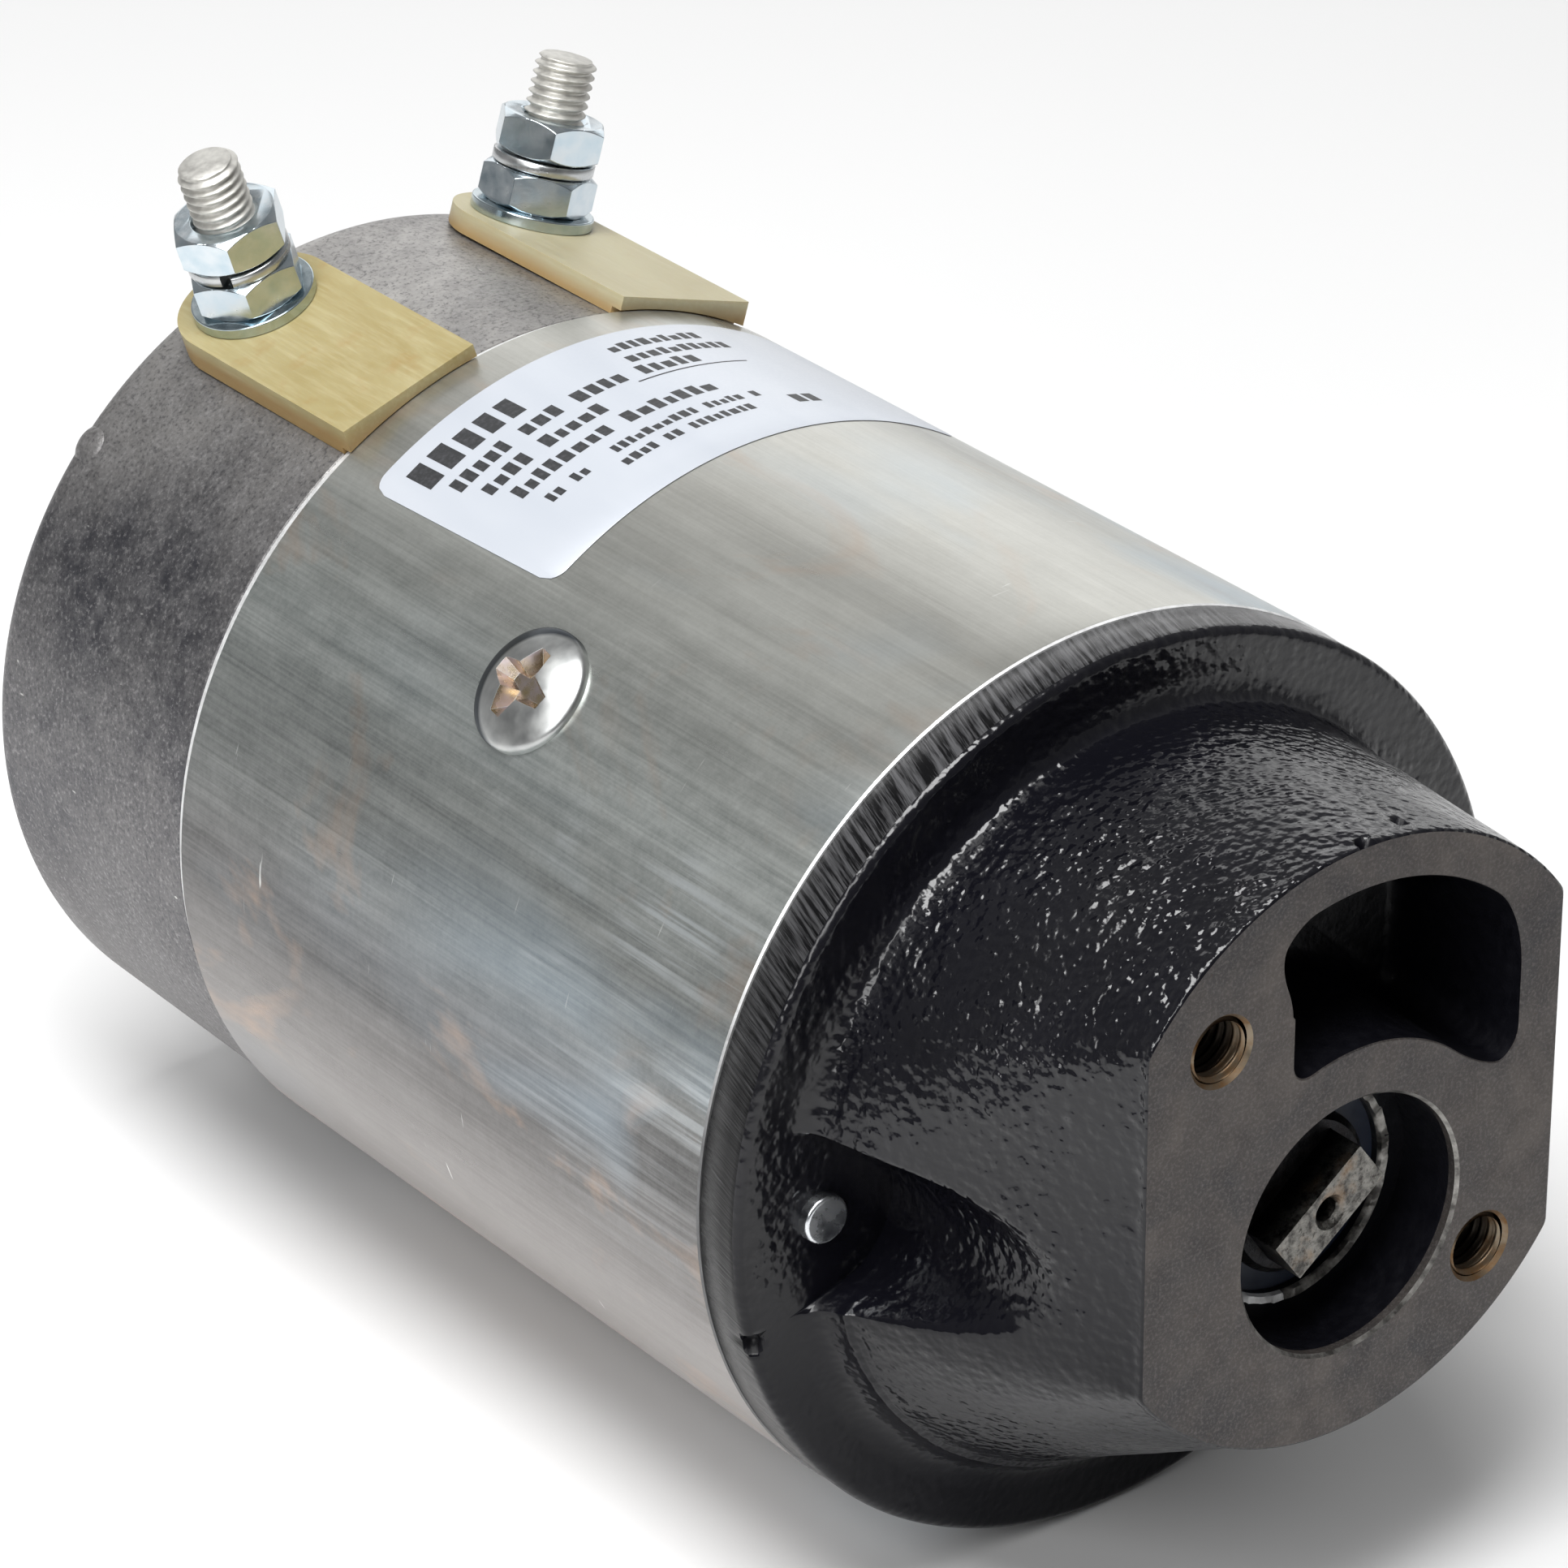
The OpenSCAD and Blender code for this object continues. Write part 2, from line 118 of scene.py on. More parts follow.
CAN_WALL = 5.5
ROUND_STEPS = 256
NUB_ANGLE = -47.5
LABEL_SKEW = 2.0
LABEL_LIFT = 0.12
PRINT_LIFT = 0.135
POLE_Y = (CAN_Y0 + CAN_Y1) / 2
HEAD_DOME_R = 14.7
# offset of the painted shade's circle on the pole screw heads
SHADE_SHIFT = 2.2
PITCH_M8 = 1.25
STUD_LEN = 23.2
STUD_MOUNT = 18.95
PAD_THICKNESS = 1.8
SPRING_WASHER_BASE = 8.4
SHAFT_FRONT = 8.5
EDGE_ANGLE = 30.0
PAD_LEAN = math.asin(MOUNTS["terminal_right"]["axis"][0])
# heights along a stud's axis, in metres as the pads' material compares them
TERMINAL_TIP = Vector(MOUNTS["terminal_right"]["pos_m"]).dot(MOUNTS["terminal_right"]["axis"])
PAD_TOP = TERMINAL_TIP - MM * (STUD_MOUNT - PAD_THICKNESS)

# ---- camera: azimuth, elevation and roll in degrees, lens in mm, place in metres ----

CAMERA_ANGLES = (-37.596, 28.022, -0.411)
CAMERA_LENS = 157.32
CAMERA_PLACE = (-0.4473, -0.47778, 0.40299)


# ---- mesh helpers ----

class Build:
    """Collects rows of points into one mesh with a material slot for each face."""

    def __init__(self):
        self.verts, self.faces, self.slots = [], [], []

    def row(self, points):
        start = len(self.verts)
        self.verts.extend(Vector(p) for p in points)
        return list(range(start, len(self.verts)))

    def face(self, indices, slot=0):
        self.faces.append(tuple(indices))
        self.slots.append(slot)

    def bridge(self, a, b, slot=0, closed=True):
        n = len(a)
        for i in range(n if closed else n - 1):
            j = (i + 1) % n
            self.face((a[i], a[j], b[j], b[i]), slot)

    def grid(self, rows, slot=0, closed=True):
        made = [self.row(r) for r in rows]
        for a, b in zip(made, made[1:]):
            self.bridge(a, b, slot, closed)
        return made

    def make(self, name, mats, finishes, sharp=35.0, replaces=()):
        """Adds the mesh to the fixed body, with a material slot for each finish."""
        mesh = bpy.data.meshes.new(name)
        mesh.from_pydata([v * MM for v in self.verts], [], self.faces)
        for finish in finishes:
            mesh.materials.append(mats[finish])
        mesh.polygons.foreach_set("material_index", self.slots)
        tidy_normals(mesh)
        return place(name, mesh, sharp, replaces, BODY)


def tidy_normals(mesh):
    bm = bmesh.new()
    bm.from_mesh(mesh)
    bmesh.ops.recalc_face_normals(bm, faces=bm.faces)
    bm.to_mesh(mesh)
    bm.free()


def add_object(name, data):
    obj = bpy.data.objects.new(name, data)
    bpy.context.scene.collection.objects.link(obj)
    return obj


def place(name, mesh, sharp, replaces, body):
    mesh.polygons.foreach_set("use_smooth", [True] * len(mesh.polygons))
    mesh.set_sharp_from_angle(angle=math.radians(sharp))
    obj = add_object(name, mesh)
    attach(obj, body)
    if replaces:
        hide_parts(*replaces)
    return obj


def polar(r, t, y):
    """Point at radius r and angle t round the shaft, a distance y along it."""
    return Vector((r * math.sin(t), y, r * math.cos(t)))


def turns(steps):
    """Evenly spaced angles of one full turn."""
    return [2 * math.pi * i / steps for i in range(steps)]


def circle_row(radius, y, steps):
    """Ring of points round the shaft axis."""
    return [polar(radius, t, y) for t in turns(steps)]


def lathe(build, profile, slot=0, steps=ROUND_STEPS, close_end=False):
    """Turns (radius, y) points round the shaft axis."""
    rows = build.grid([circle_row(r, y, steps) for r, y in profile], slot)
    if close_end:
        build.face(rows[-1], slot)


def arc(cx, cy, radius, start, end, steps):
    """(radius, y) points of an arc; angles in degrees from the outward radius."""
    out = []
    for i in range(steps + 1):
        t = math.radians(start + (end - start) * i / steps)
        out.append((cx + radius * math.cos(t), cy + radius * math.sin(t)))
    return out


def refine(node, material, bevel, segments=2, body=BODY):
    """Copies a CAD node, welds it, breaks its edges and gives it a finished material."""
    source = NODES[node]
    mesh = source.data.copy()
    bm = bmesh.new()
    bm.from_mesh(mesh)
    bmesh.ops.remove_doubles(bm, verts=bm.verts, dist=1e-6)
    bmesh.ops.dissolve_limit(bm, angle_limit=math.radians(0.5), verts=bm.verts, edges=bm.edges)
    bm.to_mesh(mesh)
    bm.free()
    mesh.materials.clear()
    mesh.materials.append(material)
    mesh.polygons.foreach_set("material_index", [0] * len(mesh.polygons))
    obj = place(node + "_finished", mesh, EDGE_ANGLE, (node,), body)
    edge = obj.modifiers.new("edge_break", "BEVEL")
    edge.width = bevel * MM
    edge.segments = segments
    edge.limit_method = "ANGLE"
    edge.angle_limit = math.radians(EDGE_ANGLE)
    edge.harden_normals = True
    edge.use_clamp_overlap = True
    return obj


def cut(obj, cutter):
    """Subtracts a closed helper mesh and removes the helper."""
    mod = obj.modifiers.new("cut", "BOOLEAN")
    mod.operation = "DIFFERENCE"
    mod.solver = "EXACT"
    mod.material_mode = "TRANSFER"
    mod.object = cutter
    bpy.context.view_layer.update()
    depsgraph = bpy.context.evaluated_depsgraph_get()
    result = bpy.data.meshes.new_from_object(obj.evaluated_get(depsgraph))
    obj.modifiers.remove(mod)
    obj.data = result
    bpy.data.objects.remove(cutter)


def helper_mesh(name, bm, material):
    mesh = bpy.data.meshes.new(name)
    bm.to_mesh(mesh)
    bm.free()
    mesh.materials.append(material)
    return add_object(name, mesh)


def stud_frame(side):
    """Matrix from a stud's own frame, with z out along the stud, to the part's frame."""
    mount = MOUNTS["terminal_left" if side < 0 else "terminal_right"]
    axis = Vector(mount["axis"]).normalized()
    base = Vector(mount["pos_m"]) * 1000 - axis * STUD_MOUNT
    along = Vector((0, 1, 0))
    across = along.cross(axis).normalized()
    turn = Matrix((across, along, axis)).transposed().to_4x4()
    return Matrix.Translation(base) @ turn


def spoke(r, t, z):
    """Point at radius r, angle t and height z in a fastener's own frame."""
    return Vector((r * math.cos(t), r * math.sin(t), z))


def pole_frame(angle):
    turn = Matrix.Rotation(math.radians(angle), 4, "Y")
    return Matrix.Translation((0, POLE_Y, 0)) @ turn


# ---- node material helpers ----

class Shader:
    """One Principled material and short calls for the nodes behind it."""

    def __init__(self, name):
        self.mat = bpy.data.materials.new(name)
        self.mat.use_nodes = True
        self.tree = self.mat.node_tree
        self.bsdf = self.tree.nodes["Principled BSDF"]
        self.coord = self.tree.nodes.new("ShaderNodeTexCoord").outputs["Object"]

    def add(self, kind, sockets=None, **props):
        n = self.tree.nodes.new(kind)
        for key, value in props.items():
            setattr(n, key, value)
        for key, value in (sockets or {}).items():
            self.feed(n.inputs[key], value)
        return n

    def feed(self, socket, value):
        if isinstance(value, bpy.types.NodeSocket):
            self.tree.links.new(value, socket)
        elif isinstance(value, (tuple, list)) and len(value) == 3 and socket.type == "RGBA":
            socket.default_value = (*value, 1.0)
        else:
            socket.default_value = value

    def math(self, operation, a, b=0.0):
        return self.add("ShaderNodeMath", {0: a, 1: b}, operation=operation).outputs[0]

    def times(self, a, b):
        return self.math("MULTIPLY", a, b)

    def plus(self, a, b):
        return self.math("ADD", a, b)

    def axes(self):
        """x, y and z of the shaded point in metres."""
        return self.add("ShaderNodeSeparateXYZ", {0: self.coord}).outputs

    def scaled(self, x=1.0, y=1.0, z=1.0, source=None, turn=(0, 0, 0)):
        n = self.add("ShaderNodeMapping", {"Vector": source or self.coord, "Scale": (x, y, z),
                                           "Rotation": turn})
        return n.outputs[0]

    def noise(self, vector, scale, detail=3.0, rough=0.55, warp=0.0):
        n = self.add("ShaderNodeTexNoise", {"Vector": vector, "Scale": scale, "Detail": detail,
                                            "Roughness": rough, "Distortion": warp})
        return n.outputs["Fac"]

    def cloud(self, *look):
        """Noise of one scale in every direction."""
        return self.noise(self.coord, *look)

    def cells(self, scale, smooth):
        n = self.add("ShaderNodeTexVoronoi", {"Vector": self.coord, "Scale": scale,
                                              "Smoothness": smooth}, feature="SMOOTH_F1")
        return n.outputs["Distance"]

    def span(self, value, low, high, out_low=0.0, out_high=1.0):
        n = self.add("ShaderNodeMapRange", {"Value": value, "From Min": low, "From Max": high,
                                            "To Min": out_low, "To Max": out_high})
        return n.outputs["Result"]

    def blend(self, fac, a, b):
        n = self.add("ShaderNodeMix", data_type="RGBA")
        self.feed(n.inputs[0], fac)
        self.feed(n.inputs[6], a)
        self.feed(n.inputs[7], b)
        return n.outputs[2]

    def round_coords(self):
        """(arc length, distance along the shaft, 0) for a surface turned about the shaft."""
        x, y, z = self.axes()
        arc_len = self.times(self.math("ARCTAN2", x, z), CAN_R * MM)
        return self.add("ShaderNodeCombineXYZ", {0: arc_len, 1: y}).outputs[0]

    def bump(self, height, strength, distance):
        sockets = {"Height": height, "Strength": strength, "Distance": distance}
        return self.add("ShaderNodeBump", sockets).outputs[0]

    def finish(self, **sockets):
        names = {"color": "Base Color", "rough": "Roughness", "metal": "Metallic",
                 "normal": "Normal", "sss": "Subsurface Weight",
                 "sss_scale": "Subsurface Scale", "spec": "Specular IOR Level"}
        for key, value in sockets.items():
            self.feed(self.bsdf.inputs[names[key]], value)
        return self.mat


# ---- materials ----

def casting_paint():
    s = Shader("black_casting_paint")
    grains = s.cells(880.0, 0.7)
    lumps = s.cloud(560.0, 2.0, 0.5)
    swell = s.cloud(190.0, 2.0, 0.5)
    height = s.plus(s.times(grains, -0.8), s.times(lumps, 1.1))
    height = s.plus(height, s.times(swell, 0.8))
    at = s.axes()
    patchy = s.span(s.cloud(48.0, 2.0), 0.38, 0.62, 0.5, 1.0)
    relief = s.times(patchy, s.span(at[2], -0.015, 0.022, 0.5, 1.0))
    hollow = s.span(at[1], (RIM_FRONT - 2) * MM, (RIM_FRONT - 0.5) * MM, 0.95, 0.40)
    relief = s.times(relief, hollow)
    normal = s.bump(s.times(height, relief), 1.0, 0.00050)
    rough = s.span(s.cloud(90.0, 3.0), 0.35, 0.65, 0.13, 0.24)
    color = s.blend(s.cloud(60.0), (0.002, 0.002, 0.003), (0.005, 0.005, 0.008))
    spec = s.span(at[2], -0.022, 0.018, 0.20, 0.46)
    return s.finish(color=color, rough=rough, normal=normal, spec=spec)


def turned_paint():
    s = Shader("turned_rim_paint")
    slanted = s.scaled(y=0.05, source=s.scaled(turn=(0, 0, 0.32), source=s.round_coords()))
    marks = s.noise(slanted, 1700.0, 4.0, 0.7)
    broad = s.noise(slanted, 420.0, 2.0)
    scars = s.times(s.span(marks, 0.60, 0.70), s.span(broad, 0.42, 0.6))
    color = s.blend(scars, (0.0020, 0.0020, 0.0024), (0.060, 0.060, 0.063))
    # Marks lighter towards the top of the band: real wear, with painted light on the top where the
    # light falls.
    height_z = s.axes()[2]
    wear_and_top_light = s.times(s.span(marks, 0.44, 0.60), s.span(height_z, 0.008, 0.046, 0.0, 0.8))
    color = s.blend(wear_and_top_light, color, (0.085, 0.085, 0.089))
    rough = s.span(broad, 0.3, 0.7, 0.17, 0.30)
    height = s.plus(marks, s.times(broad, 0.6))
    return s.finish(color=color, rough=rough, normal=s.bump(height, 0.8, 0.00012), spec=0.22)


def machined_face():
    s = Shader("machined_face_iron")
    stains = s.cloud(62.0, 5.0, 0.68, 0.5)
    clouds = s.cloud(260.0, 4.0, 0.7)
    grain = s.cloud(2300.0, 3.0, 0.7)
    specks = s.cloud(900.0, 2.0, 0.7)
    color = s.blend(s.span(stains, 0.36, 0.64), (0.028, 0.027, 0.029),
                    (0.076, 0.065, 0.058))
    color = s.blend(s.span(clouds, 0.35, 0.65, 0.0, 0.45), color, (0.044, 0.038, 0.037))
    color = s.blend(s.span(grain, 0.48, 0.66, 0.0, 0.5), color, (0.135, 0.122, 0.116))
    color = s.blend(s.span(specks, 0.66, 0.74, 0.0, 0.5), color, (0.05, 0.035, 0.025))
    rough = s.span(clouds, 0.3, 0.7, 0.40, 0.58)
    return s.finish(color=color, rough=rough, metal=0.5, normal=s.bump(grain, 0.5, 0.00006))


def bright_edge():
    """Freshly cut metal with an uneven sheen, darker low on the can's front edge."""
    s = Shader("bright_cut_edge")
    streak = s.cloud(420.0, 4.0, 0.7)
    fleck = s.cloud(2200.0, 2.0)
    color = s.blend(s.span(streak, 0.35, 0.65), (0.62, 0.62, 0.62), (0.92, 0.93, 0.93))
    at = s.axes()
    can_front = s.times(s.span(at[1], (CAN_Y0 - 3) * MM, (CAN_Y0 - 1) * MM),
                       s.span(at[1], (CAN_Y0 + 3) * MM, (CAN_Y0 + 1) * MM))
    low_front_darkening = s.times(can_front, s.span(at[2], 0.034, 0.010, 0.0, 0.9))
    color = s.blend(low_front_darkening, color, (0.045, 0.045, 0.047))
    return s.finish(color=color, rough=s.span(fleck, 0.3, 0.7, 0.28, 0.44), metal=0.35,
                    normal=s.bump(fleck, 0.3, 0.00005))


def cut_lip():
    """Duller cut metal on the bore's edges."""
    s = Shader("bore_lip_iron")
    streak = s.cloud(300.0, 4.0, 0.7)
    color = s.blend(s.span(streak, 0.38, 0.66), (0.07, 0.066, 0.062), (0.34, 0.33, 0.31))
    return s.finish(color=color, rough=s.span(streak, 0.3, 0.7, 0.3, 0.46), metal=0.8,
                    normal=s.bump(streak, 0.5, 0.0001))


def bore_iron():
    s = Shader("dark_bore_iron")
    fine = s.cloud(620.0, 3.0)
    color = s.blend(fine, (0.002, 0.002, 0.003), (0.006, 0.006, 0.009))
    return s.finish(color=color, rough=s.span(fine, 0.3, 0.7, 0.30, 0.46), spec=0.22,
                    normal=s.bump(fine, 0.6, 0.0002))


def thread_iron():
    s = Shader("cut_thread_iron")
    rust = s.cloud(420.0, 4.0, 0.65)
    color = s.blend(s.span(rust, 0.35, 0.68), (0.20, 0.165, 0.12), (0.16, 0.08, 0.028))
    # Painted shade: the thread grows darker deeper into the hole.
    depth = s.axes()[1]
    color = s.blend(s.span(depth, 0.0005, 0.0032, 0.0, 0.96), color, (0.010, 0.008, 0.006))
    return s.finish(color=color, rough=s.span(rust, 0.3, 0.7, 0.28, 0.55), metal=0.85)


def can_zinc():
    """Drawn tube: faint bands and hair lines along the shaft, plating tints in broad patches, and
    painted light and shade by height: lit on top, shaded around the middle of the side, lighter
    again low down.
    """
    s = Shader("zinc_can_steel")
    hair = s.noise(s.scaled(y=0.010), 3000.0, 2.0, 0.5)
    streaks = s.noise(s.scaled(y=0.030), 900.0, 4.0, 0.62)
    bands = s.noise(s.scaled(y=0.045), 230.0, 3.0, 0.55)
    mottle = s.noise(s.scaled(y=0.7), 240.0, 5.0, 0.72)
    spangle = s.cloud(1500.0, 3.0, 0.7)
    patch = s.noise(s.scaled(y=0.55), 30.0, 3.0, 0.55, 0.8)
    at = s.axes()
    height_z, front = at[2], s.span(at[1], 0.108, 0.074, 0.2, 1.0)
    # Mask for painted light by height: one on the lit top, nought along the shaded middle.
    low = s.span(height_z, 0.006, 0.036)
    tone = s.plus(s.times(hair, 0.30), s.times(streaks, 0.30))
    tone = s.plus(tone, s.times(bands, 0.40))
    tone = s.plus(tone, s.times(s.math("SUBTRACT", mottle, 0.5), 0.35))
    tone = s.plus(tone, s.times(s.math("SUBTRACT", spangle, 0.5), 0.22))
    tone = s.span(tone, 0.34, 0.66)
    # Painted light and shade: a lit tone for the top and a shaded tone for the middle of the side.
    top_lit_tone = s.blend(tone, (0.30, 0.325, 0.315), (0.60, 0.63, 0.61))
    shaded_side_tone = s.blend(tone, (0.088, 0.087, 0.086), (0.195, 0.193, 0.191))
    base = s.blend(low, shaded_side_tone, top_lit_tone)
    # Painted light on the lower side.
    bottom_light = s.span(height_z, 0.002, -0.036, 0.0, 0.75)
    base = s.blend(bottom_light, base, (0.405, 0.370, 0.350))
    # Painted highlight along the top.
    high = s.span(height_z, 0.036, 0.056, 0.0, 0.7)
    base = s.blend(high, base, (0.53, 0.515, 0.47))
    warm = s.noise(s.scaled(y=0.6), 36.0, 4.0, 0.65, 1.2)
    base = s.blend(s.span(warm, 0.54, 0.70, 0.0, 0.42), base, (0.56, 0.37, 0.25))
    cool = s.noise(s.scaled(1.1, 0.5, 1.1, turn=(0, 0, 0.4)), 27.0, 3.0, 0.5, 0.6)
    cool = s.times(s.span(cool, 0.52, 0.68, 0.0, 0.5), front)
    base = s.blend(cool, base, (0.42, 0.52, 0.60))
    rub = s.times(s.span(streaks, 0.48, 0.62), s.span(patch, 0.52, 0.62))
    zone = s.times(s.span(height_z, 0.006, 0.020, 0.2, 1.0),
                  s.span(height_z, 0.044, 0.036))
    rub = s.times(rub, s.times(front, s.times(zone, 0.5)))
    base = s.blend(rub, base, (0.76, 0.81, 0.84))
    scratch = s.noise(s.scaled(0.12, 1.0, 0.12, turn=(0.5, 0.2, 0.9)), 900.0, 2.0)
    base = s.blend(s.span(scratch, 0.75, 0.80, 0.0, 0.7), base, (0.85, 0.86, 0.84))
    rough = s.plus(s.span(bands, 0.3, 0.7, 0.27, 0.36), s.span(patch, 0.3, 0.7, -0.03, 0.05))
    height = s.plus(s.times(hair, 0.5), s.plus(mottle, streaks))
    return s.finish(color=base, rough=rough, metal=0.88, normal=s.bump(height, 0.3, 0.00005))


def cap_aluminium():
    s = Shader("cast_aluminium")
    cloud = s.cloud(42.0, 5.0, 0.62, 0.5)
    mottle = s.cloud(330.0, 5.0, 0.75)
    sand = s.cloud(1700.0, 3.0, 0.7)
    chips = s.noise(s.scaled(y=0.4), 560.0, 2.0, 0.8)
    height_z = s.axes()[2]
    # Painted light by height: both tones grow pale towards the top, where the light falls; lower
    # down they are darker, and browner at the bottom.
    dark = s.blend(s.span(height_z, -0.045, -0.005), (0.118, 0.104, 0.096),
                   (0.066, 0.066, 0.076))
    dark = s.blend(s.span(height_z, 0.034, 0.054), dark, (0.30, 0.29, 0.28))
    pale = s.blend(s.span(height_z, 0.030, 0.056), (0.175, 0.170, 0.172),
                   (0.50, 0.485, 0.465))
    base = s.blend(s.span(cloud, 0.34, 0.66), dark, pale)
    base = s.blend(s.span(mottle, 0.42, 0.64, 0.0, 0.45), base, (0.27, 0.265, 0.265))
    base = s.blend(s.span(sand, 0.52, 0.68, 0.0, 0.6), base, (0.04, 0.04, 0.047))
    base = s.blend(s.span(sand, 0.44, 0.36, 0.0, 0.40), base, (0.44, 0.43, 0.43))
    base = s.blend(s.span(chips, 0.73, 0.77, 0.0, 0.8), base, (0.70, 0.70, 0.67))
    rough = s.span(mottle, 0.3, 0.7, 0.36, 0.54)
    height = s.plus(mottle, s.times(sand, 0.7))
    return s.finish(color=base, rough=rough, metal=0.8, normal=s.bump(height, 0.6, 0.00013))


def plated(name, low, high, rough_low, rough_high, metal=1.0, scale=420.0):
    s = Shader(name)
    cloud = s.cloud(scale, 3.0, 0.55)
    fine = s.cloud(3200.0, 2.0)
    color = s.blend(s.span(cloud, 0.3, 0.7), low, high)
    rough = s.span(cloud, 0.3, 0.7, rough_low, rough_high)
    return s.finish(color=color, rough=rough, metal=metal, normal=s.bump(fine, 0.12, 0.00003))


def polished_head():
    """Polished zinc dome with painted shade along its far edge."""
    s = Shader("bright_zinc_screw")
    cloud = s.cloud(420.0, 3.0, 0.55)
    fine = s.cloud(3200.0, 2.0)
    at = s.axes()
    around = s.times(s.plus(at[0], at[2]), math.sqrt(0.5))
    around = s.plus(around, 0.2 * SHADE_SHIFT * MM)
    along = s.math("SUBTRACT", at[1], (POLE_Y - SHADE_SHIFT) * MM)
    squares = s.plus(s.times(around, around), s.times(along, along))
    gap = s.plus(s.math("SQRT", squares), s.times(cloud, 0.0004))
    # Painted shade: a dark crescent along the head's far edge.
    far_edge_shade = s.span(gap, 0.0077, 0.0083, 0.0, 0.93)
    color = s.blend(s.span(cloud, 0.3, 0.7), (0.40, 0.41, 0.41), (0.54, 0.55, 0.54))
    color = s.blend(far_edge_shade, color, (0.020, 0.028, 0.040))
    return s.finish(color=color, rough=s.span(cloud, 0.3, 0.7, 0.30, 0.40), metal=1.0,
                    normal=s.bump(fine, 0.10, 0.00003))


def fibre_pad():
    s = Shader("fibre_pad")
    wide = s.noise(s.scaled(y=0.35), 95.0, 4.0, 0.6, 0.6)
    fibres = s.noise(s.scaled(y=0.08), 1400.0, 3.0, 0.7)
    stain = s.cloud(210.0, 3.0, 0.6)
    color = s.blend(s.span(wide, 0.3, 0.7), (0.265, 0.203, 0.070), (0.365, 0.318, 0.165))
    color = s.blend(s.span(fibres, 0.45, 0.75, 0.0, 0.25), color, (0.58, 0.54, 0.37))
    color = s.blend(s.span(stain, 0.58, 0.75, 0.0, 0.40), color, (0.30, 0.185, 0.06))
    side = s.axes()
    color = s.blend(s.span(side[0], -0.002, 0.002, 0.0, 0.45), color, (0.47, 0.45, 0.34))
    reach = s.times(s.math("ABSOLUTE", side[0]), math.sin(PAD_LEAN))
    level = s.plus(reach, s.times(side[2], math.cos(PAD_LEAN)))
    edge = s.span(level, PAD_TOP - 0.0006, PAD_TOP - 0.0024, 0.0, 0.75)
    color = s.blend(edge, color, (0.27, 0.15, 0.04))
    rough = s.span(fibres, 0.3, 0.7, 0.40, 0.58)
    s.bsdf.inputs["Subsurface Radius"].default_value = (0.9, 0.55, 0.2)
    return s.finish(color=color, rough=rough, sss=0.12, sss_scale=0.002,
                    normal=s.bump(fibres, 0.25, 0.00006))


def label_film():
    s = Shader("label_film")
    sheen = s.noise(s.scaled(y=0.3), 60.0, 3.0)
    grain = s.cloud(2500.0, 2.0)
    color = s.blend(s.span(sheen, 0.3, 0.7), (0.46, 0.49, 0.54), (0.55, 0.575, 0.615))
    return s.finish(color=color, rough=s.span(grain, 0.3, 0.7, 0.34, 0.44), metal=0.15,
                    normal=s.bump(sheen, 0.1, 0.0001))


def label_ink():
    s = Shader("label_ink")
    wear = s.cloud(1800.0, 3.0)
    color = s.blend(s.span(wear, 0.45, 0.75, 0.0, 0.4), (0.020, 0.021, 0.023), (0.10, 0.10, 0.11))
    return s.finish(color=color, rough=0.5)


def soft_rubber():
    s = Shader("seal_rubber")
    grain = s.cloud(1500.0, 3.0)
    color = s.blend(grain, (0.006, 0.010, 0.024), (0.014, 0.022, 0.045))
    return s.finish(color=color, rough=s.span(grain, 0.3, 0.7, 0.30, 0.5),
                    normal=s.bump(grain, 0.3, 0.00005))


def shaft_steel():
    """Bright rough tang; dark end face behind it; bright chamfer and journal."""
    s = Shader("shaft_steel")
    rough_cut = s.cloud(620.0, 4.0, 0.7)
    pits = s.cloud(1500.0, 3.0, 0.7)
    rust = s.cloud(300.0, 3.0)
    color = s.blend(s.span(rough_cut, 0.36, 0.62), (0.045, 0.043, 0.040), (0.235, 0.228, 0.210))
    color = s.blend(s.span(pits, 0.52, 0.66, 0.0, 0.85), color, (0.035, 0.03, 0.028))
    color = s.blend(s.span(rust, 0.52, 0.68, 0.0, 0.55), color, (0.20, 0.12, 0.06))
    along = s.axes()[1]
    end_face_darkening = s.span(along, (SHAFT_FRONT - 4.6) * MM, (SHAFT_FRONT - 1.2) * MM, 0.0, 0.95)
    journal = s.span(along, (SEAL_Y + 2.0) * MM, (SEAL_Y + 3.0) * MM, 1.0, 0.25)
    color = s.blend(s.times(end_face_darkening, journal), color, (0.012, 0.012, 0.014))
    return s.finish(color=color, rough=s.span(rough_cut, 0.3, 0.7, 0.26, 0.5), metal=0.95,
                    normal=s.bump(rough_cut, 0.8, 0.00025))


def plain(name, low, high, rough, metal=0.0, stretch=1.0, scale=300.0):
    """Finish for the inner pieces: two tones, grain along or across the shaft, and bump."""
    s = Shader(name)
    grain = s.noise(s.scaled(y=stretch), scale, 4.0, 0.65)
    color = s.blend(s.span(grain, 0.3, 0.7), low, high)
    return s.finish(color=color, rough=s.span(grain, 0.3, 0.7, rough - 0.08, rough + 0.08),
                    metal=metal, normal=s.bump(grain, 0.3, 0.0001))


# two tones, then lowest and highest roughness, and for some metal and cloud scale
PLATED = {
    "screw_recess": ((0.46, 0.37, 0.20), (0.50, 0.44, 0.47), 0.20, 0.34, 1.0, 500.0),
    "bolt_steel": ((0.58, 0.61, 0.64), (0.72, 0.74, 0.76), 0.18, 0.32),
    "washer_zinc": ((0.40, 0.49, 0.53), (0.56, 0.63, 0.66), 0.14, 0.26),
    "lower_nut_zinc": ((0.46, 0.55, 0.61), (0.64, 0.69, 0.72), 0.14, 0.28),
    "upper_nut_zinc": ((0.50, 0.60, 0.66), (0.68, 0.73, 0.76), 0.13, 0.26),
    "spring_washer_steel": ((0.44, 0.46, 0.47), (0.58, 0.59, 0.59), 0.22, 0.38),
    "tinned_stud": ((0.50, 0.49, 0.46), (0.68, 0.67, 0.63), 0.42, 0.58, 0.75, 900.0),
}
